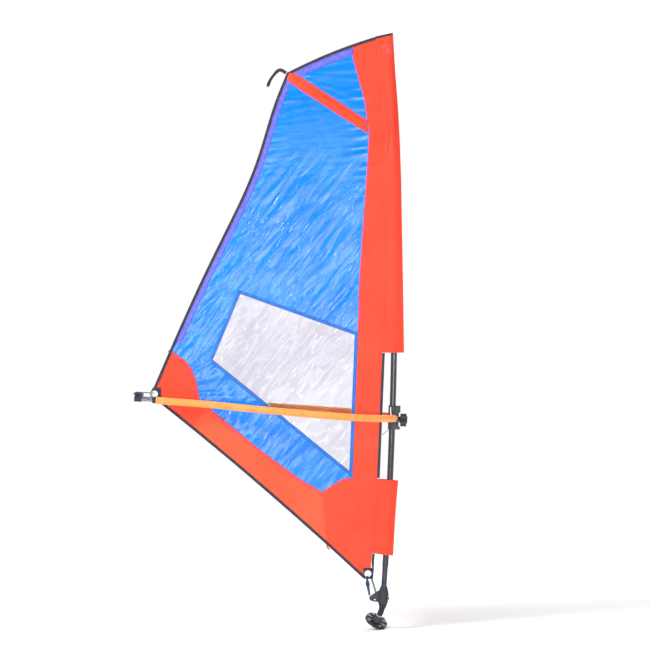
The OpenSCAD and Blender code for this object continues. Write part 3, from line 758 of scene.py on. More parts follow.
# ---------------------------------------------------------------- sail panels
PANEL_STEP = 14 if QUICK else 7
RING_HOLE = 12                  # cut under the rings' flanges
LUFF_AREA = LUFF_SEAM + [tuple(WINDOW_OUT[3]),
                         tuple(WINDOW_OUT[2])] + LUFF_LOW + FOOT_CUT[1:] + [(200, 100), (200, 2700)]
FOOT_AREA = FOOT_SEAM + CLEW_CUT[1:] + FOOT_CUT[:0:-1]
CLEW_AREA = CLEW_SEAM + [(-1100, 1240), (-1100, 850)] + CLEW_CUT[:0:-1]
HEAD_AREA = [(-600, 2700), (200, 2700), POCKET[1], POCKET[0]]
PANELS = ["window_film", "luff_panel", "foot_panel", "clew_panel", "head_panel", "main_panel"]


def region_of(p):
    for name, loop in (("window_film", WINDOW), ("luff_panel", LUFF_AREA), ("foot_panel", FOOT_AREA),
                       ("clew_panel", CLEW_AREA), ("head_panel", HEAD_AREA)):
        if inside(p, loop):
            return name
    return "main_panel"


def cut_sail():
    """One triangle mesh of the whole sail, split along the seams. Gives points and faces per panel."""
    points, edges = [], []

    def add_line(line, closed=False):
        base = len(points)
        points.extend(Vector(p) for p in line)
        n = len(line)
        edges.extend((base + i, base + (i + 1) % n) for i in range(n if closed else n - 1))

    add_line(outline, True)
    for seam in (LUFF_SEAM[1:] + [tuple(WINDOW_OUT[3])], [tuple(WINDOW_OUT[2])] + LUFF_LOW, FOOT_SEAM,
                 CLEW_SEAM,
                 FOOT_CUT, CLEW_CUT, WINDOW + WINDOW[:1], [POCKET[0], POCKET[1]]):
        add_line(dense(seam))
    for ring in (CLEW_RING, TACK_RING):
        add_line([ring + Vector((math.cos(math.pi * k / 16),
                                 math.sin(math.pi * k / 16))) * RING_HOLE for k in range(32)], True)
    left, right, low, high = -1005.0, 45, 190.0, 2600
    row, z = 0, low
    while z < high:
        x = left + (PANEL_STEP / 2 if row % 2 else 0)
        while x < right:
            p = (x + 1.2 * perlin(x / 9, z / 9, 0.3), z + 1.2 * perlin(x / 9, z / 9, 4.3))
            if inside(p, outline):
                points.append(Vector(p))
            x += PANEL_STEP
        z += PANEL_STEP * 0.87
        row += 1
    verts, _, faces, _, _, _ = geometry.delaunay_2d_cdt(points, edges, [], 0, 0.01)
    panels = {name: [] for name in PANELS}
    for face in faces:
        middle = sum((verts[i] for i in face), Vector((0, 0))) / len(face)
        near_ring = min((middle - CLEW_RING).length, (middle - TACK_RING).length)
        if near_ring > RING_HOLE and inside(middle, outline):
            panels[region_of(middle)].append(tuple(face))
    return verts, panels


def area_of(verts, faces):
    return sum(abs((verts[b] - verts[a]).cross(verts[c] - verts[a])) / 2 for a, b, c in faces)


def cut_size(points):
    """Width and length in millimetres of the smallest rectangle the piece is cut from."""
    best = None
    for k in range(60):
        a = math.pi * k / 120
        u = [p.x * math.cos(a) + p.y * math.sin(a) for p in points]
        v = [p.y * math.cos(a) - p.x * math.sin(a) for p in points]
        size = (max(u) - min(u), max(v) - min(v))
        if best is None or size[0] * size[1] < best[0] * best[1]:
            best = size
    return best


def thicken(obj, thickness):
    modifier = obj.modifiers.new("cloth", "SOLIDIFY")
    modifier.thickness = thickness * MM
    modifier.offset = 0


# The foot panel takes the lighter red copy, which paints in backlight.
PANEL_LOOKS = {
    "window_film": ("window_clear", 0.35), "luff_panel": ("red_cloth", 0.6), "foot_panel": ("red_painted_backlit", 0.6),
    "clew_panel": ("red_cloth", 0.6), "head_panel": ("blue_cloth", 0.55), "main_panel": ("blue_cloth", 0.55),
}
SHEETS = {}


def make_panels():
    verts, panels = cut_sail()
    heights = {}
    for name, faces in panels.items():
        used = sorted({i for face in faces for i in face})
        index = {old: new for new, old in enumerate(used)}
        for i in used:
            if i not in heights:
                heights[i] = on_sail(verts[i].x, verts[i].y)
        material, thickness = PANEL_LOOKS[name]
        points = [heights[i] for i in used]
        obj = add_mesh("sail_" + name, points, [tuple(index[i] for i in face) for face in faces], material)
        thicken(obj, thickness)
        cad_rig.ride(obj, "rig")
        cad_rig.replaces(obj, name)
        width, length = cut_size([verts[i] for i in used])
        SHEETS[name] = (obj, (width * MM, length * MM), area_of(verts, faces) * MM * MM)


make_panels()


def declare_sheets():
    for obj, flat, area in SHEETS.values():
        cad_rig.sheet(obj, flat=flat, held="stretched", area=area)


# ---------------------------------------------------------------- bands, tapes, bindings
def band(name, inner, outer, thickness, material, crown=0.0, columns=6, replaces=(), puff=None):
    """A sewn strip that wraps both faces of the cloth between two lines of equal length."""
    rings = []
    for k, (a, b) in enumerate(zip(inner, outer)):
        front, back = [], []
        for i in range(columns + 1):
            t = i / columns
            p = a.lerp(b, t)
            rim = min(1, math.sin(math.pi * min(max(t, 0.02), 0.98)) * 5)
            half = thickness / 2 * (0.45 + 0.55 * rim) + crown * math.sin(math.pi * t)
            if puff:
                half += puff(k / (len(inner) - 1), t)
            y = sail_y(p.x, p.y)
            front.append(at(p.x, y - half, p.y))
            back.append(at(p.x, y + half, p.y))
        rings.append(front + back[::-1])
    verts, faces = loft(rings)
    obj = add_mesh(name, verts, faces, material)
    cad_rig.ride(obj, "rig")
    if replaces:
        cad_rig.replaces(obj, *replaces)


def stitches(lines, name, material, lift, swing=1.7, pitch=2.6, width=0.75):
    """Zigzag thread along lines on both faces of the sail."""
    parts = []
    for line in lines:
        fine = dense(line, pitch)
        last = len(fine) - 1
        for side in (-1, 1):
            rings = []
            for i, p in enumerate(fine):
                d = (fine[min(i + 1, last)] - fine[max(i - 1, 0)]).normalized()
                n = left_of(d)
                c = p + n * (swing if i % 2 else -swing)
                y = sail_y(c.x, c.y) + side * lift
                across = (d * (0.6 if i % 2 else -0.6) + n * 0.8).normalized() * width / 2
                flat = Vector((across.x, 0, across.y)) * MM
                top = at(c.x, y + side * 0.35, c.y)
                low = at(c.x, y - side * 0.25, c.y)
                rings.append([low - flat, top - flat * 0.6, top + flat * 0.6, low + flat])
            parts.append(loft(rings))
    obj = add_mesh(name, *join_parts(parts), material)
    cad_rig.ride(obj, "rig")


def make_edges():
    head_in = shifted(head_line, BINDING_W)
    leech_in = shifted(leech_line, BINDING_W)
    foot_in = shifted(foot_line, BINDING_W)
    head_tape_in = shifted(head_line, BINDING_W + HEAD_TAPE_W)
    leech_tape_in = shifted(leech_line, BINDING_W + LEECH_TAPE_W)
    band("leech_edge", leech_in, leech_line, 2.4, "black_webbing", 0.2, replaces=["leech_binding"])
    band("head_edge", head_in, head_line, 2.4, "black_webbing", 0.2, replaces=["head_binding"])
    band("foot_edge", foot_in, foot_line, 2.4, "black_webbing", 0.2, replaces=["foot_binding"])
    # The tapes stop at the luff panel, the batten pocket and the clew panel.
    tape_end = next(i for i, p in enumerate(leech_line) if p.y < 1238)
    tape_from = next(i for i, p in enumerate(leech_line) if p.y < 2400)
    head_from = next(i for i, p in enumerate(head_line) if p.x < -106)
    cover = 2
    band("leech_strip", leech_tape_in[tape_from:tape_end + 1],
         shifted(leech_line, BINDING_W - cover)[tape_from:tape_end + 1],
         1.3, "violet_tape", 0.1, replaces=["leech_tape"])
    band("head_strip", head_tape_in[head_from:-4], shifted(head_line, BINDING_W - cover)[head_from:-4], 1.3,
         "violet_tape", 0.1, replaces=["head_tape"])
    loop = [Vector(p) for p in WINDOW]
    outer = list(WINDOW_OUT)
    sides = []
    for i in range(4):
        a, b, c, d = loop[i], loop[(i + 1) % 4], outer[i], outer[(i + 1) % 4]
        n = round((b - a).length / EDGE_STEP)
        sides.append(([a.lerp(b, k / n) for k in range(n)], [c.lerp(d, k / n) for k in range(n)]))
    inner_ring = [p for s in sides for p in s[0]] + [loop[0]]
    outer_ring = [p for s in sides for p in s[1]] + [outer[0]]
    band("window_frame", inner_ring, outer_ring, 1.4, "blue_tape", 0.12, replaces=["window_tape"])
    mid_in = [a.lerp(b, 0.2) for a, b in zip(inner_ring, outer_ring)]
    mid_out = [a.lerp(b, 0.8) for a, b in zip(inner_ring, outer_ring)]
    stitches([mid_in, mid_out], "window_stitches", "blue_thread", 0.85, 1.9, 2.6, 1.3)
    stitches([shifted(leech_line, BINDING_W + 5)[tape_from:tape_end],
              shifted(leech_line, BINDING_W + LEECH_TAPE_W - 4)[tape_from:tape_end],
              shifted(head_line, BINDING_W + 5)[head_from:-4],
              shifted(head_line, BINDING_W + HEAD_TAPE_W - 5)[head_from:-4]],
             "tape_stitches", "lilac_thread", 0.85)
    stitches([shifted(leech_line, BINDING_W - 3)[2:-2], shifted(head_line, BINDING_W - 3)[2:-2],
              shifted(foot_line, BINDING_W - 3)[3:-6]],
             "binding_stitches", "black_thread", 1.3, 1.3, 2.6)
    seams = []
    red_seams = {
        "seam_luff_high": [LUFF_SEAM[1], *LUFF_SEAM[2:4]],
                 "seam_luff_mid": LUFF_SEAM[4:] + [tuple(WINDOW_OUT[3])],
        "seam_luff_low": [tuple(WINDOW_OUT[2])] + LUFF_LOW, "seam_foot": FOOT_SEAM,
                 "seam_clew": CLEW_SEAM[:-1] + [(-912, 1203)],
    }
    for name, points in red_seams.items():
        line = dense(points)
        band(name, shifted(line, -1.5), shifted(line, 9), 1.0, "red_cloth", 0.1)
        seams += [shifted(line, 1.5)[1:-1], shifted(line, 6.5)[1:-1]]
    stitches(seams, "seam_stitches", "lilac_thread", 0.7, 1.4, 2.6)
    lower_cuts = [dense([(-239, 575), (-215, 330), (-206, 322)]), dense([(-740, 950), (-806, 862)])]
    for i, line in enumerate(lower_cuts):
        # These seam strips on the foot panel share its lighter red, painted backlight.
        band(f"seam_low_{i}", shifted(line, -4), shifted(line, 4), 1.0, "red_painted_backlit", 0.1)
    stitches([shifted(line, s)[1:-1] for line in lower_cuts for s in (-2.4, 2.4)], "low_stitches",
             "dark_thread", 0.7, 1.2)


make_edges()


def make_webbing():
    low = ([(-20.5, 241), (-20.5, 274), (-18.4, 303)], [(-10, 241), (-9, 274), (-6.4, 303)])
    high = ([(3.1, 638), (25.1, 1189)], [(15, 638), (37, 1189)])
    for name, (back, front) in {"luff_web_low": low, "luff_web": high}.items():
        a, b = vectors(back), vectors(front)
        rows_a, rows_b = [], []
        for (p, q), (u, v) in zip(zip(a, a[1:]), zip(b, b[1:])):
            n = max(2, round((q - p).length / EDGE_STEP))
            rows_a += [p.lerp(q, k / n) for k in range(n)]
            rows_b += [u.lerp(v, k / n) for k in range(n)]
        rows_a.append(a[-1])
        rows_b.append(b[-1])
        band(name, rows_b, rows_a, 3.0, "black_webbing", 0.3,
             replaces=["luff_webbing"] if name == "luff_web" else [])
        stitches([[p.lerp(q, t) for p, q in zip(rows_a, rows_b)] for t in (0.25, 0.75)],
                 name + "_stitches", "black_thread", 1.7, 1.2)


make_webbing()


# ---------------------------------------------------------------- batten pocket and strap
def make_pocket():
    a, b, c, d = vectors(POCKET)
    # The pocket's leech end follows the edge binding, and its luff end the luff panel.
    top_start, low_start = a.lerp(b, 0.165), d.lerp(c, 0.14)
    n = 56
    top = [top_start.lerp(b, k / n) for k in range(n + 1)]
    low = [low_start.lerp(c, k / n) for k in range(n + 1)]

    def batten_bulge(u, t):
        width = 0.25 if u < 0.93 else 0.25 * (1 - (u - 0.93) / 0.12)
        crest = math.exp(-(((t - 0.5) / width) ** 4))
        crease = 0.25 * perlin(u * 26, t * 2, 3.9)
        return 1.7 * crest + crease * ease(0, 0.1, t) * ease(0, 0.1, 1 - t)

    band("pocket", low, top, 1.6, "red_cloth", 0.0, 20, ["batten_pocket"], batten_bulge)
    # The batten lies inside the pocket and follows the cloth.
    rails = [[p.lerp(q, t) for p, q in zip(low, top)][1:-2] for t in (0.32, 0.68)]
    band("batten_rod", rails[0], rails[1], 1.4, "batten_white", 0.0, 6, ["batten"])
    stitches([[p.lerp(q, t) for p, q in zip(low, top)] for t in (0.09, 0.91)], "pocket_stitches",
             "lilac_thread", 1.0)
    end = [low[-1].lerp(top[-1], k / 8) for k in range(9)]
    stitches([shifted(end, 6)[1:-1]], "pocket_end_stitches", "lilac_thread", 1.7)


make_pocket()

STRAP_W, STRAP_T = 15, 2.2
STRAP_ROUTE = [(-396, 0, 2415), (-410, 0, 2424), (-424, 0, 2428), (-438, 0, 2420), (-450, 0, 2406),
               (-462, 0, 2390),
               (-471, 0, 2372), (-478, 0, 2354)]


def make_strap():
    """The batten's tension strap: webbing that leaves the corner, folds over and hangs, twisting."""
    path = smooth_curve([Vector(p) for p in STRAP_ROUTE], 2.0)
    last = len(path) - 1
    ways = directions(path)
    rings = []
    for k, (p, d) in enumerate(zip(path, ways)):
        t = k / last
        in_plane = Vector((-d.z, 0, d.x))
        twist = math.radians(40) * ease(0.22, 0.5, t) * (1 - 0.75 * ease(0.72, 0.95, t))
        wide = in_plane * math.cos(twist) + Vector((0, 1, 0)) * math.sin(twist)
        thin = d.cross(wide).normalized()
        point = 1 - 0.75 * ease(0.93, 1.0, t)
        w, h = STRAP_W / 2 * point, STRAP_T / 2
        ring = []
        for i in range(16):
            a = 2 * math.pi * i / 16
            c, s = math.cos(a), math.sin(a)
            q = p + wide * w * math.copysign(abs(c) ** 0.45, c) + thin * h * math.copysign(abs(s) ** 0.7, s)
            ring.append(at(*q))
        rings.append(ring)
    verts, faces = loft(rings)
    strap = add_mesh("batten_webbing", verts, faces, "black_webbing")
    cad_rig.ride(strap, "rig")
    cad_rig.replaces(strap, "batten_strap")
    route = [at(*p) for p in path]
    length = sum((b - a).length for a, b in zip(route, route[1:]))
    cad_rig.cord(strap, exit=route[0], length=length, diameter=STRAP_W * MM, far_end="bare", stiffness="medium",
            lay="hanging", path=route)


make_strap()

# ---------------------------------------------------------------- mast sleeves
# Each station is (height at the mast, back X, front X, slope of the ring).
UPPER = [(1191, 26.3, 121, 0), (1450, 30, 117, 0), (1750, 34.5, 111, 0), (1950, 37.5, 107.5, 0),
         (2127, 40, 101, 0),
         (2264, 29.5, 93, 0.05), (2420, 17, 80.5, 0.1), (2500, 9.5, 75.5, 0.15), (2585, 1, 70.5, 0.2)]
LOWER = [(298, -18.2, 74.5, -0.118), (420, -10.8, 80.5, -0.118), (530, -3.5, 87.5, -0.11),
         (630, 3.5, 96, -0.097)]
SLEEVE_R = 14.6                 # the mast's radius and the cloth round it
FOLD = ((52, 2040), (65, 2230)) # the ends of a tuck in the upper sleeve
HIGH_SEED, LOW_SEED = 11.0, 31.0
SLEEVE_LAP = 7                  # how far the sleeve laps over the luff panel


def station_at(stations, z):
    for a, b in zip(stations, stations[1:]):
        if z <= b[0]:
            t = (z - a[0]) / (b[0] - a[0])
            return [u + (v - u) * t for u, v in zip(a, b)]
    return stations[-1]


def sleeve_half(offset, reach):
    """Half thickness of a sleeve pulled round the mast, at a distance from the mast's axis."""
    d = abs(offset)
    touch = SLEEVE_R**2 / reach
    if d < touch:
        return math.sqrt(SLEEVE_R**2 - d * d)
    h = math.sqrt(SLEEVE_R**2 - touch**2)
    return max(1.0, h * (reach - d) / (reach - touch))


def sleeve_pleat(x, z, seed):
    """Shallow pleats across the sleeve and one long crease beside the mast."""
    y = 0.55 * ridge(perlin(z / 26, x / 60, seed)) + 0.5 * perlin(z / 60, x / 40, seed + 3)
    y += 0.5 * ridge(perlin(x / 22, z / 300, seed + 6))
    if FOLD[0][1] < z < FOLD[1][1]:
        t = (z - FOLD[0][1]) / (FOLD[1][1] - FOLD[0][1])
        middle = FOLD[0][0] + (FOLD[1][0] - FOLD[0][0]) * t
        y -= 4.5 * math.sin(math.pi * t) * math.exp(-(((x - middle) / 4) ** 2))
    return y


def sleeve_surface(x, z, stations, side, seed):
    _, back, front, _ = station_at(stations, z)
    back -= SLEEVE_LAP
    xm = mast_x(z)
    reach = (front - xm) if x > xm else (xm - back)
    rest = ease(0, 8, min(front - x, x - back))
    return side * (sleeve_half(x - xm, reach) + sleeve_pleat(x, z, seed + side) * rest * 0.8)


def make_sleeve(name, stations, replaces, seed):
    columns = 26
    z0, z1 = stations[0][0], stations[-1][0]
    rows = round((z1 - z0) / (16 if QUICK else 7))
    rings = []
    for k in range(rows + 1):
        z = z0 + (z1 - z0) * k / rows
        _, back, front, slope = station_at(stations, z)
        back -= SLEEVE_LAP
        xm = mast_x(z)
        front_side, back_side = [], []
        for i in range(columns + 1):
            t = 0.5 - 0.5 * math.cos(math.pi * i / columns)
            x = back + (front - back) * t
            zz = z + slope * (x - xm)
            front_side.append(at(x, sleeve_surface(x, z, stations, -1, seed), zz))
            back_side.append(at(x, sleeve_surface(x, z, stations, 1, seed), zz))
        rings.append(front_side + back_side[::-1])
    verts, faces = loft(rings, False)
    obj = add_mesh(name, verts, faces, "red_sleeve")
    thicken(obj, 0.7)
    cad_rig.ride(obj, "rig")
    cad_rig.replaces(obj, replaces)


make_sleeve("sleeve_high", UPPER, "sleeve_upper", HIGH_SEED)
make_sleeve("sleeve_low", LOWER, "sleeve_lower", LOW_SEED)


def sleeve_thread(name, lines, stations, seed, material, swing=1.4, pitch=2.6):
    """Stitch lines that lie on a sleeve's two faces; each line is a list of (x, z)."""
    parts = []
    for line in lines:
        fine = dense(line, pitch)
        last = len(fine) - 1
        for side in (-1, 1):
            rings = []
            for i, p in enumerate(fine):
                d = (fine[min(i + 1, last)] - fine[max(i - 1, 0)]).normalized()
                n = left_of(d)
                c = p + n * (swing if i % 2 else -swing)
                slope = station_at(stations, c.y)[3]
                y = sleeve_surface(c.x, c.y, stations, side, seed) + side * 0.35
                zz = c.y + slope * (c.x - mast_x(c.y))
                across = n * 0.4
                flat = Vector((across.x, 0, across.y)) * MM
                top, low = at(c.x, y + side * 0.35, zz), at(c.x, y - side * 0.4, zz)
                rings.append([low - flat, top - flat * 0.6, top + flat * 0.6, low + flat])
            parts.append(loft(rings))
    obj = add_mesh(name, *join_parts(parts), material)
    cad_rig.ride(obj, "rig")


def edge_line(stations, z0, z1, inset):
    """Points up a sleeve, at a distance from its back edge."""
    n = round((z1 - z0) / 20)
    heights = [z0 + (z1 - z0) * k / n for k in range(n + 1)]
    return [(station_at(stations, z)[1] + inset, z) for z in heights]


sleeve_thread("sleeve_high_stitches", [edge_line(UPPER, 1196, 2570, 6), edge_line(UPPER, 1196, 2570, 11)],
              UPPER, HIGH_SEED,
              "dark_thread")
sleeve_thread("sleeve_low_stitches", [edge_line(LOWER, 303, 626, 6), edge_line(LOWER, 303, 626, 11)], LOWER,
              LOW_SEED,
              "dark_thread")


def cuff_line(stations, z):
    """Points across a sleeve, short of both edges."""
    inset = 4
    _, back, front, _ = station_at(stations, z)
    return [(back + inset + (front - back - 2 * inset) * k / 12, z) for k in range(13)]


sleeve_thread("cuff_stitches", [cuff_line(UPPER, 1203), cuff_line(UPPER, 1209), cuff_line(UPPER, 2572)],
              UPPER, HIGH_SEED, "dark_thread")
sleeve_thread("cuff_low_stitches", [cuff_line(LOWER, 310), cuff_line(LOWER, 618)], LOWER, LOW_SEED,
              "dark_thread")
BOX = [(26, 2504), (66, 2504), (66, 2537), (26, 2537), (26, 2504)]
sleeve_thread("box_stitches", [BOX, [BOX[0], BOX[2]], [BOX[1], BOX[3]]], UPPER, HIGH_SEED, "black_thread",
              0.5, 2.0)


# The batten pocket's stitching carries on over the luff panel and the sleeve.
POCKET_TAIL = [[(-37, 2208), (32, 2126)], [(-37, 2156), (32, 2106)]]
stitches([dense(line) for line in POCKET_TAIL], "pocket_tail_stitches", "dark_thread", 0.5, 0.9)
sleeve_thread("pocket_tail_high", [[(36, 2121), (52, 2102)], [(36, 2103), (50, 2093)]], UPPER, HIGH_SEED,
              "dark_thread", 0.9)


def make_sleeve_top():
    """The head binding carries on round the sleeve's top edge."""
    z_top, width, columns = 2585, 9, 26
    rings = []
    for side, order in ((-1, range(columns + 1)), (1, range(columns - 1, 0, -1))):
        for i in order:
            t = 0.5 - 0.5 * math.cos(math.pi * i / columns)
            _, back, front, slope = station_at(UPPER, z_top)
            back -= SLEEVE_LAP
            x = back + (front - back) * t
            y = sleeve_surface(x, z_top, UPPER, side, HIGH_SEED)
            z = z_top + slope * (x - mast_x(z_top))
            rings.append([at(x, y - side * 1.2, z + 1.2), at(x, y + side * 0.9, z + 1.2),
                          at(x, y + side * 0.9, z - width),
                          at(x, y - side * 1.2, z - width)])
    rings.append(rings[0])
    verts, faces = loft(rings, False)
    obj = add_mesh("sleeve_top_binding", verts, faces, "black_webbing")
    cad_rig.ride(obj, "rig")


make_sleeve_top()

# ---------------------------------------------------------------- patches at tack and clew
STITCH_INSET = 4


def patch(name, corners, ring, hole, thickness, replaces):
    points = dense(corners + corners[:1], 3)[:-1]
    edges = [(i, (i + 1) % len(points)) for i in range(len(points))]
    base, sides = len(points), 40
    for i in range(sides):
        a = 2 * math.pi * i / sides
        points.append(ring + Vector((math.cos(a), math.sin(a))) * hole)
    edges += [(base + i, base + (i + 1) % sides) for i in range(sides)]
    x0, x1 = min(p[0] for p in corners), max(p[0] for p in corners)
    z0, z1 = min(p[1] for p in corners), max(p[1] for p in corners)
    x = x0 + 2
    while x < x1:
        z = z0 + 2
        while z < z1:
            points.append(Vector((x, z)))
            z += 3.5
        x += 3.5
    verts, _, faces, _, _, _ = geometry.delaunay_2d_cdt(points, edges, [], 0, 0.01)
    keep = []
    for face in faces:
        middle = sum((verts[i] for i in face), Vector((0, 0))) / 3
        if inside(middle, corners) and (middle - ring).length > hole * 0.985:
            keep.append(tuple(face))
    used = sorted({i for face in keep for i in face})
    index = {old: new for new, old in enumerate(used)}
    relief = [on_sail(verts[i].x, verts[i].y, 0.12 * perlin(verts[i].x / 5, verts[i].y / 5, 2)) for i in used]
    obj = add_mesh(name, relief, [tuple(index[i] for i in face) for face in keep], "black_webbing")
    thicken(obj, thickness)
    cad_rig.ride(obj, "rig")
    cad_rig.replaces(obj, replaces)
    inset = offset_loop(corners, -STITCH_INSET)
    stitches([inset + inset[:1]], name + "_stitches", "black_thread", thickness / 2 + 0.15, 0.9, 2.2)


patch("tack_layers", [(-52, 191), (-14, 191), (-10, 240), (-58, 240), (-58, 196)], TACK_RING, 11, 3.2,
      "tack_patch")
patch("clew_layers", [(-997, 1010), (-988, 984), (-952, 984), (-946, 996), (-948, 1037), (-983, 1037)],
      CLEW_RING, 11,
      3.2, "clew_patch")

# ---------------------------------------------------------------- boom grips
BOOM_HALF_W, ARM_GAP, ARM_FRONT, TAIL_GAP = 150, 28, 11, 32
FRONT_ANGLE = math.radians(55)
REAR_R = (1400, 400)
GRIP_END, GRIP_R = -1041, 15.5
FRONT_R = (BOOM_HALF_W - ARM_GAP) / (1 - math.cos(FRONT_ANGLE))
WIDEST_X = ARM_FRONT - FRONT_R * math.sin(FRONT_ANGLE)
REAR_ANGLE = math.acos(1 - (BOOM_HALF_W - TAIL_GAP) / sum(REAR_R))
BEND_X = WIDEST_X - REAR_R[0] * math.sin(REAR_ANGLE)
STRAIGHT_X = BEND_X - REAR_R[1] * math.sin(REAR_ANGLE)


def arm_axis(step=7.0):
    """The far arm's axis in the boom's plane, from the head to the end of the grip."""
    pts = []

    def arc(cx, cy, r, a0, a1):
        n = round(abs(a1 - a0) * r / step)
        pts.extend(Vector((cx + r * math.cos(a0 + (a1 - a0) * k / n),
                           cy + r * math.sin(a0 + (a1 - a0) * k / n), 0))
                   for k in range(n))

    arc(WIDEST_X, BOOM_HALF_W - FRONT_R, FRONT_R, math.pi / 2 - FRONT_ANGLE, math.pi / 2)
    arc(WIDEST_X, BOOM_HALF_W - REAR_R[0], REAR_R[0], math.pi / 2, math.pi / 2 + REAR_ANGLE)
    arc(STRAIGHT_X, TAIL_GAP + REAR_R[1], REAR_R[1], 3 * math.pi / 2 + REAR_ANGLE, 3 * math.pi / 2)
    n = round((STRAIGHT_X - GRIP_END) / step)
    pts.extend(Vector((STRAIGHT_X + (GRIP_END - STRAIGHT_X) * k / n, TAIL_GAP, 0)) for k in range(n + 1))
    return pts


def make_grip(name, mirror, node):
    path = [Vector((p.x, p.y * mirror, p.z)) for p in arm_axis()]
    sides = 40
    rings = []
    last = len(path) - 1
    ways = directions(path)
    for k, (p, d) in enumerate(zip(path, ways)):
        side = d.cross(Vector((0, 0, 1))).normalized()
        up = side.cross(d)
        ring = []
        for i in range(sides):
            a = 2 * math.pi * i / sides
            seam = 0.9 * math.exp(-(((a - math.pi * 1.5 + 0.25 * mirror) / 0.09) ** 2))
            r = GRIP_R - seam + 0.22 * perlin(p.x / 22, a * 2,
                                              3.0 + mirror) + 0.12 * perlin(p.x / 6, a * 7, 8.0)
            q = p + side * (r * math.cos(a)) + up * (r * math.sin(a))
            ring.append(boom(*q))
        rings.append(ring)

    def cap(k, depth):
        """Rings that round the foam's end down to the tube."""
        p, d = path[k], ways[k] * (1 if k else -1)
        out = []
        for shrink, push in ((2.2, -0.4), (1.2, -1.6), (0.5, -3.2)):
            side = ways[k].cross(Vector((0, 0, 1))).normalized()
            up = side.cross(ways[k])
            r = GRIP_R - shrink
            out.append([boom(*(p + d * (depth + push) + side * r * math.cos(2 * math.pi * i / sides)
                               + up * r * math.sin(2 * math.pi * i / sides))) for i in range(sides)])
        return out

    start, end = cap(0, 0.0), cap(last, 0.0)
    verts, faces = loft(start + rings[1:-1] + end[::-1])
    obj = add_mesh(name, verts, faces, "orange_foam")
    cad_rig.ride(obj, "boom")
    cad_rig.replaces(obj, node)


make_grip("foam_far", 1, "grip_far")
make_grip("foam_near", -1, "grip_near")


# ---------------------------------------------------------------- ropes
STRANDS, BRAID_PITCH = 8, 4.0


def braid(path, radius, sides=16):
    """A braided cord: two sets of strands that wind opposite ways."""
    travelled, lengths = 0.0, [0.0]
    for a, b in zip(path, path[1:]):
        travelled += (b - a).length
        lengths.append(travelled)

    def shape(k, a):
        turn = lengths[k] / (BRAID_PITCH * radius) * 2 * math.pi
        left = math.cos(STRANDS / 2 * a + turn)
        right = math.cos(STRANDS / 2 * a - turn)
        return radius * (0.93 + 0.07 * max(left, right)) * (1 if 0 < k < len(path) - 1 else 0.6)

    return loft(tube_rings(path, shape, sides))


def rope_mesh(name, paths, radius, material, sides=16):
    parts = [braid([Vector(p) for p in path], radius, sides) for path in paths]
    verts, faces = join_parts(parts)
    return add_mesh(name, [at(*v) for v in verts], faces, material)


LINE_R = 2.0
OUTHAUL = [(-992, -6, 1013), (-1000, -6, 1014.4), (-1008, -5, 1015), (-1016, -1.5, 1015.3),
           (-1024, 0, 1015.6), (-1034, 0, 1016)]
TIE = [(57, -15, 853), (46, -13, 846), (36, -8, 838), (27, -4, 829)]
DOWNHAUL = [(-27, -6, 205), (-22, -6, 190), (-14, -5, 165), (-7, -4, 142), (-3, -3.3, 124),
            (-0.5, -3.3, 112.5)]
BUNDLE = [(-38, -11, 205), (-40, -11, 190), (-38, -9, 170), (-35, -5, 150), (-32, -1, 132), (-30, 0, 117)]
OUT_BUNDLE = [(-1067, -17, 1009), (-1058, -17, 1012), (-1047, -17, 1012), (-1037, -17, 1011),
              (-1027, -17, 1010)]
LASHING = [(-987, -46, 985), (-987, -46, 1005), (-987, -30, 1016), (-986, -11, 1014)]


def curve(points, step=0.9):
    return smooth_curve([Vector(p) for p in points], step)


def hank(route, strands, strand_r, reach, wraps):
    """Spare line folded to and fro round a route, with a few turns wound about its middle."""
    core = curve(route, 1.2)
    last = len(core) - 1
    paths = []
    frames = frames_along(core)
    for s in range(strands):
        a0 = 2 * math.pi * s / strands
        path = []
        for k, (p, (side, up)) in enumerate(zip(core, frames)):
            t = k / last
            a = a0 + 1.6 * t
            swell = reach * (0.55 + 0.45 * math.sin(math.pi * min(1,
                                                                  max(0, t)))) * (1 + 0.12 * perlin(t * 4, s,
                                                                                                    1))
            path.append(p + side * swell * math.cos(a) + up * swell * math.sin(a))
        paths.append(path)
    start, end, turns = wraps
    wrap = []
    n = turns * 22
    for i in range(n + 1):
        t = start + (end - start) * i / n
        k = min(last, round(t * last))
        side, up = frames[k]
        f = t * last - math.floor(t * last)
        p = core[min(last, int(t * last))].lerp(core[min(last, int(t * last) + 1)], f)
        a = 2 * math.pi * turns * i / n
        r = reach + strand_r * 1.5
        wrap.append(p + side * r * math.cos(a) + up * r * math.sin(a))
    paths.append(wrap)
    return paths


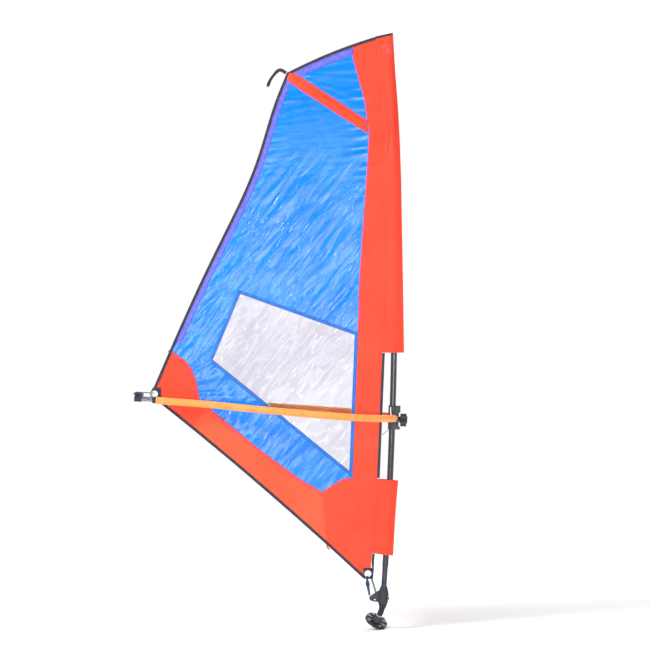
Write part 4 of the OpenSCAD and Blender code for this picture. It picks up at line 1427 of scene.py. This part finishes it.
def make_ropes():
    lines = rope_mesh("outhaul_line", [curve(OUTHAUL)], LINE_R, "navy_rope")
    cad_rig.blend(lines, "boom", "tail", at(-994, -6, 1013), at(-1032, 0, 1016))
    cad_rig.replaces(lines, "outhaul")
    # The standing part joins the ring to the part that lengthens as the tail goes out.
    standing = rope_mesh("outhaul_standing", [curve([(-977, -3, 1014), (-985, -5.4, 1013.4)] + OUTHAUL[:2])],
                         LINE_R * 0.9,
                         "navy_rope")
    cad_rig.blend(standing, "rig", "boom", at(-979, -4, 1014), at(-992, -6, 1013))
    tie = rope_mesh("boom_tie", [curve(TIE)], 1.5, "navy_rope", 12)
    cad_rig.blend(tie, "rig", "boom", at(*TIE[-1]), at(*TIE[0]))
    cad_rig.replaces(tie, "tie_line")
    down = rope_mesh("downhaul_line", [curve(DOWNHAUL),
                                       curve([(x + 4.6, y + 3.0, z) for x, y, z in DOWNHAUL[:-1]])], LINE_R,
                     "navy_rope")
    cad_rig.ride(down, "rig")
    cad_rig.replaces(down, "downhaul")
    spare = rope_mesh("downhaul_hank", hank(BUNDLE, 5, 2.0, 4.6, (0.3, 0.5, 4)), 1.9, "navy_rope", 10)
    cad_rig.ride(spare, "rig")
    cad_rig.replaces(spare, "downhaul_bundle")
    spare = rope_mesh("outhaul_hank", hank(OUT_BUNDLE, 5, 1.7, 3.8, (0.35, 0.7, 3)), 1.7, "navy_rope", 10)
    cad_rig.ride(spare, "tail")
    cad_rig.replaces(spare, "outhaul_bundle")
    turns = [curve([(x - 2.6 * i, y, z) for x, y, z in LASHING]) for i in range(2)]
    lash = rope_mesh("clew_ties", turns, LINE_R, "grey_rope")
    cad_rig.blend(lash, "rig", "boom", at(-986, -10, 1014), at(-986, -26, 1014))
    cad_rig.replaces(lash, "clew_lashing")


make_ropes()


# ---------------------------------------------------------------- clamp clip
def make_clip():
    """The bright bent clip on the near face of the clamp's upper collar."""
    path = smooth_curve([Vector(p) for p in [(-9, -18.9, 49), (-9, -19.6, 36), (-8, -19.6, 20),
                                             (-2, -19.4, 10), (8, -18.6, 6),
                                             (19, -18.4, 4)]], 1.2)
    rings = []
    for p, d in zip(path, directions(path)):
        out = Vector((p.x * 0.25, -1, 0)).normalized()
        across = d.cross(out).normalized()
        rings.append([clamp(*(p + across * 4.2 * math.copysign(abs(math.cos(a)) ** 0.5, math.cos(a))
                              + out * 1.1 * math.copysign(abs(math.sin(a)) ** 0.5, math.sin(a))))
                      for a in (2 * math.pi * i / 20 for i in range(20))])
    obj = add_mesh("clamp_clip", *loft(rings), "white_plastic")
    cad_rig.ride(obj, "boom")


make_clip()


# ---------------------------------------------------------------- release spring
LATCH_Z = 50


def make_spring():
    """The release button's return spring, which shortens towards the housing as the button goes in."""
    turns, pitch, radius, start = 4, 1.5, 1.9, -17.4
    per_turn = 16
    path = []
    for i in range(turns * per_turn + 1):
        t = i / per_turn
        a = 2 * math.pi * t
        path.append(foot(start + pitch * t, radius * math.cos(a), LATCH_Z + radius * math.sin(a)))
    obj = add_mesh("return_spring", *loft(tube_rings(path, 0.35 * MM, 8)), "steel")
    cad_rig.ride(obj, "rig")
    along = foot(1, 0, 0) - foot(0, 0, 0)
    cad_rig.squash(obj, "release_press", axis=tuple(along), anchor=tuple(foot(start, 0, LATCH_Z)), keep=0.45)
    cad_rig.replaces(obj, "release_spring")


make_spring()


# ---------------------------------------------------------------- rubber joint
def make_tendon():
    """The rubber tendon bends between the cup and the ring."""
    top, low = foot(0, 0, 23.8), disc(0, 0, -28.8)
    middle = foot(0, 0, 0)
    rows, sides = 26, 40
    path = [top * (1 - t) ** 2 + middle * 2 * t * (1 - t) + low * t * t
            for t in [k / rows for k in range(rows + 1)]]

    top_r, low_r = 18.6, 13.4

    def radius(k, _):
        t = k / rows
        waist = top_r + (low_r - top_r) * t**0.8 - 3.2 * math.sin(math.pi * t) ** 2
        groove = 0.7 * math.exp(-(((t - 0.12) / 0.025) ** 2)) + 0.7 * math.exp(-(((t - 0.9) / 0.025) ** 2))
        return (waist - groove) * MM

    verts, faces = loft(tube_rings(path, radius, sides))
    obj = add_mesh("rubber_tendon", verts, faces, "black_rubber")
    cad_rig.blend(obj, "swivel", "foot", foot(0, 0, 20), disc(0, 0, -25))
    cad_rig.replaces(obj, "tendon")


make_tendon()


# ---------------------------------------------------------------- floor and light
def make_stage():
    floor_z = CAD_BOX[0][2] - 0.001
    radius, sides = 3.2, 96
    rim = [(radius * math.cos(2 * math.pi * i / sides), radius * math.sin(2 * math.pi * i / sides),
            floor_z) for i in range(sides)]
    mesh = bpy.data.meshes.new("floor")
    mesh.from_pydata(rim, [], [tuple(range(sides))])
    floor = bpy.data.objects.new("floor", mesh)
    bpy.context.collection.objects.link(floor)
    s = Shader("floor")
    s.ramp(s.noise(0.6, 2), [(0.3, (246, 246, 247)), (0.7, (250, 250, 251))])
    s.set(Roughness=0.9)
    mesh.materials.append(MATERIALS["floor"])
    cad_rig.stage(floor)
    # "front" is a wide, low panel behind the camera whose reflection lightens the sail's lower half.
    for name, place, size, power in (("key", (-4.0, -1.9, 4.2), (1.2, 1.2), 260),
                                     ("front", (-0.3, -11.6, 0.55), (7, 1.5), 400),
                                     ("side", (4.6, -6.5, 2.0), (2.5, 2.5), 150),
                                     ("back", (2.5, 4.5, 3.6), (2.5, 2.5), 200)):
        light = bpy.data.lights.new(name, "AREA")
        light.shape, light.energy = "RECTANGLE", power
        light.size, light.size_y = size
        obj = bpy.data.objects.new(name, light)
        obj.location = place
        aim = Vector((0, 1, 0)) if name == "front" else Vector((-0.2, 0, 1.3)) - Vector(place)
        obj.rotation_euler = aim.to_track_quat("-Z", "Y").to_euler()
        bpy.context.collection.objects.link(obj)
    world = bpy.data.worlds.new("studio")
    bpy.context.scene.world = world
    world.use_nodes = True
    # White at the horizon and overhead, dimmer in between, so that the cloth keeps its relief.
    tree = world.node_tree
    coords = tree.nodes.new("ShaderNodeTexCoord")
    height = tree.nodes.new("ShaderNodeSeparateXYZ")
    ramp = tree.nodes.new("ShaderNodeValToRGB")
    tree.links.new(coords.outputs["Generated"], height.inputs[0])
    tree.links.new(height.outputs["Z"], ramp.inputs["Fac"])
    stops = ((0.0, 1.0), (0.13, 1.0), (0.26, 0.2), (0.75, 0.2), (0.92, 1.4))
    elements = ramp.color_ramp.elements
    while len(elements) < len(stops):
        elements.new(0.5)
    for element, (place, level) in zip(elements, stops):
        element.position, element.color = place, (level, level, level, 1)
    # A dark opening straight ahead of the sail, so that the cloth shows its own colour.
    aside = tree.nodes.new("ShaderNodeMath")
    aside.operation = "MULTIPLY"
    for slot in (0, 1):
        tree.links.new(height.outputs["X"], aside.inputs[slot])
    level = tree.nodes.new("ShaderNodeMath")
    level.operation = "MAXIMUM"
    limits = ((aside.outputs[0], 0.05, 0.16, 0.05), (height.outputs["Y"], -0.5, -0.2, 0.0))
    for slot, (value, low, high, dark) in enumerate(limits):
        span = tree.nodes.new("ShaderNodeMapRange")
        tree.links.new(value, span.inputs["Value"])
        for key, number in (("From Min", low), ("From Max", high), ("To Min", dark), ("To Max", 1.0)):
            span.inputs[key].default_value = number
        tree.links.new(span.outputs["Result"], level.inputs[slot])
    both = tree.nodes.new("ShaderNodeVectorMath")
    both.operation = "SCALE"
    tree.links.new(ramp.outputs["Color"], both.inputs[0])
    tree.links.new(level.outputs[0], both.inputs["Scale"])
    tree.links.new(both.outputs[0], tree.nodes["Background"].inputs["Color"])
    tree.nodes["Background"].inputs["Strength"].default_value = 1.0
    bpy.context.scene.view_settings.view_transform = "Standard"


make_stage()
declare_sheets()

with open("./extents.json", "w") as out:
    json.dump({"cad": [list(v) for v in CAD_BOX], "visual": [list(v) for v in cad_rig.bounds()]}, out)
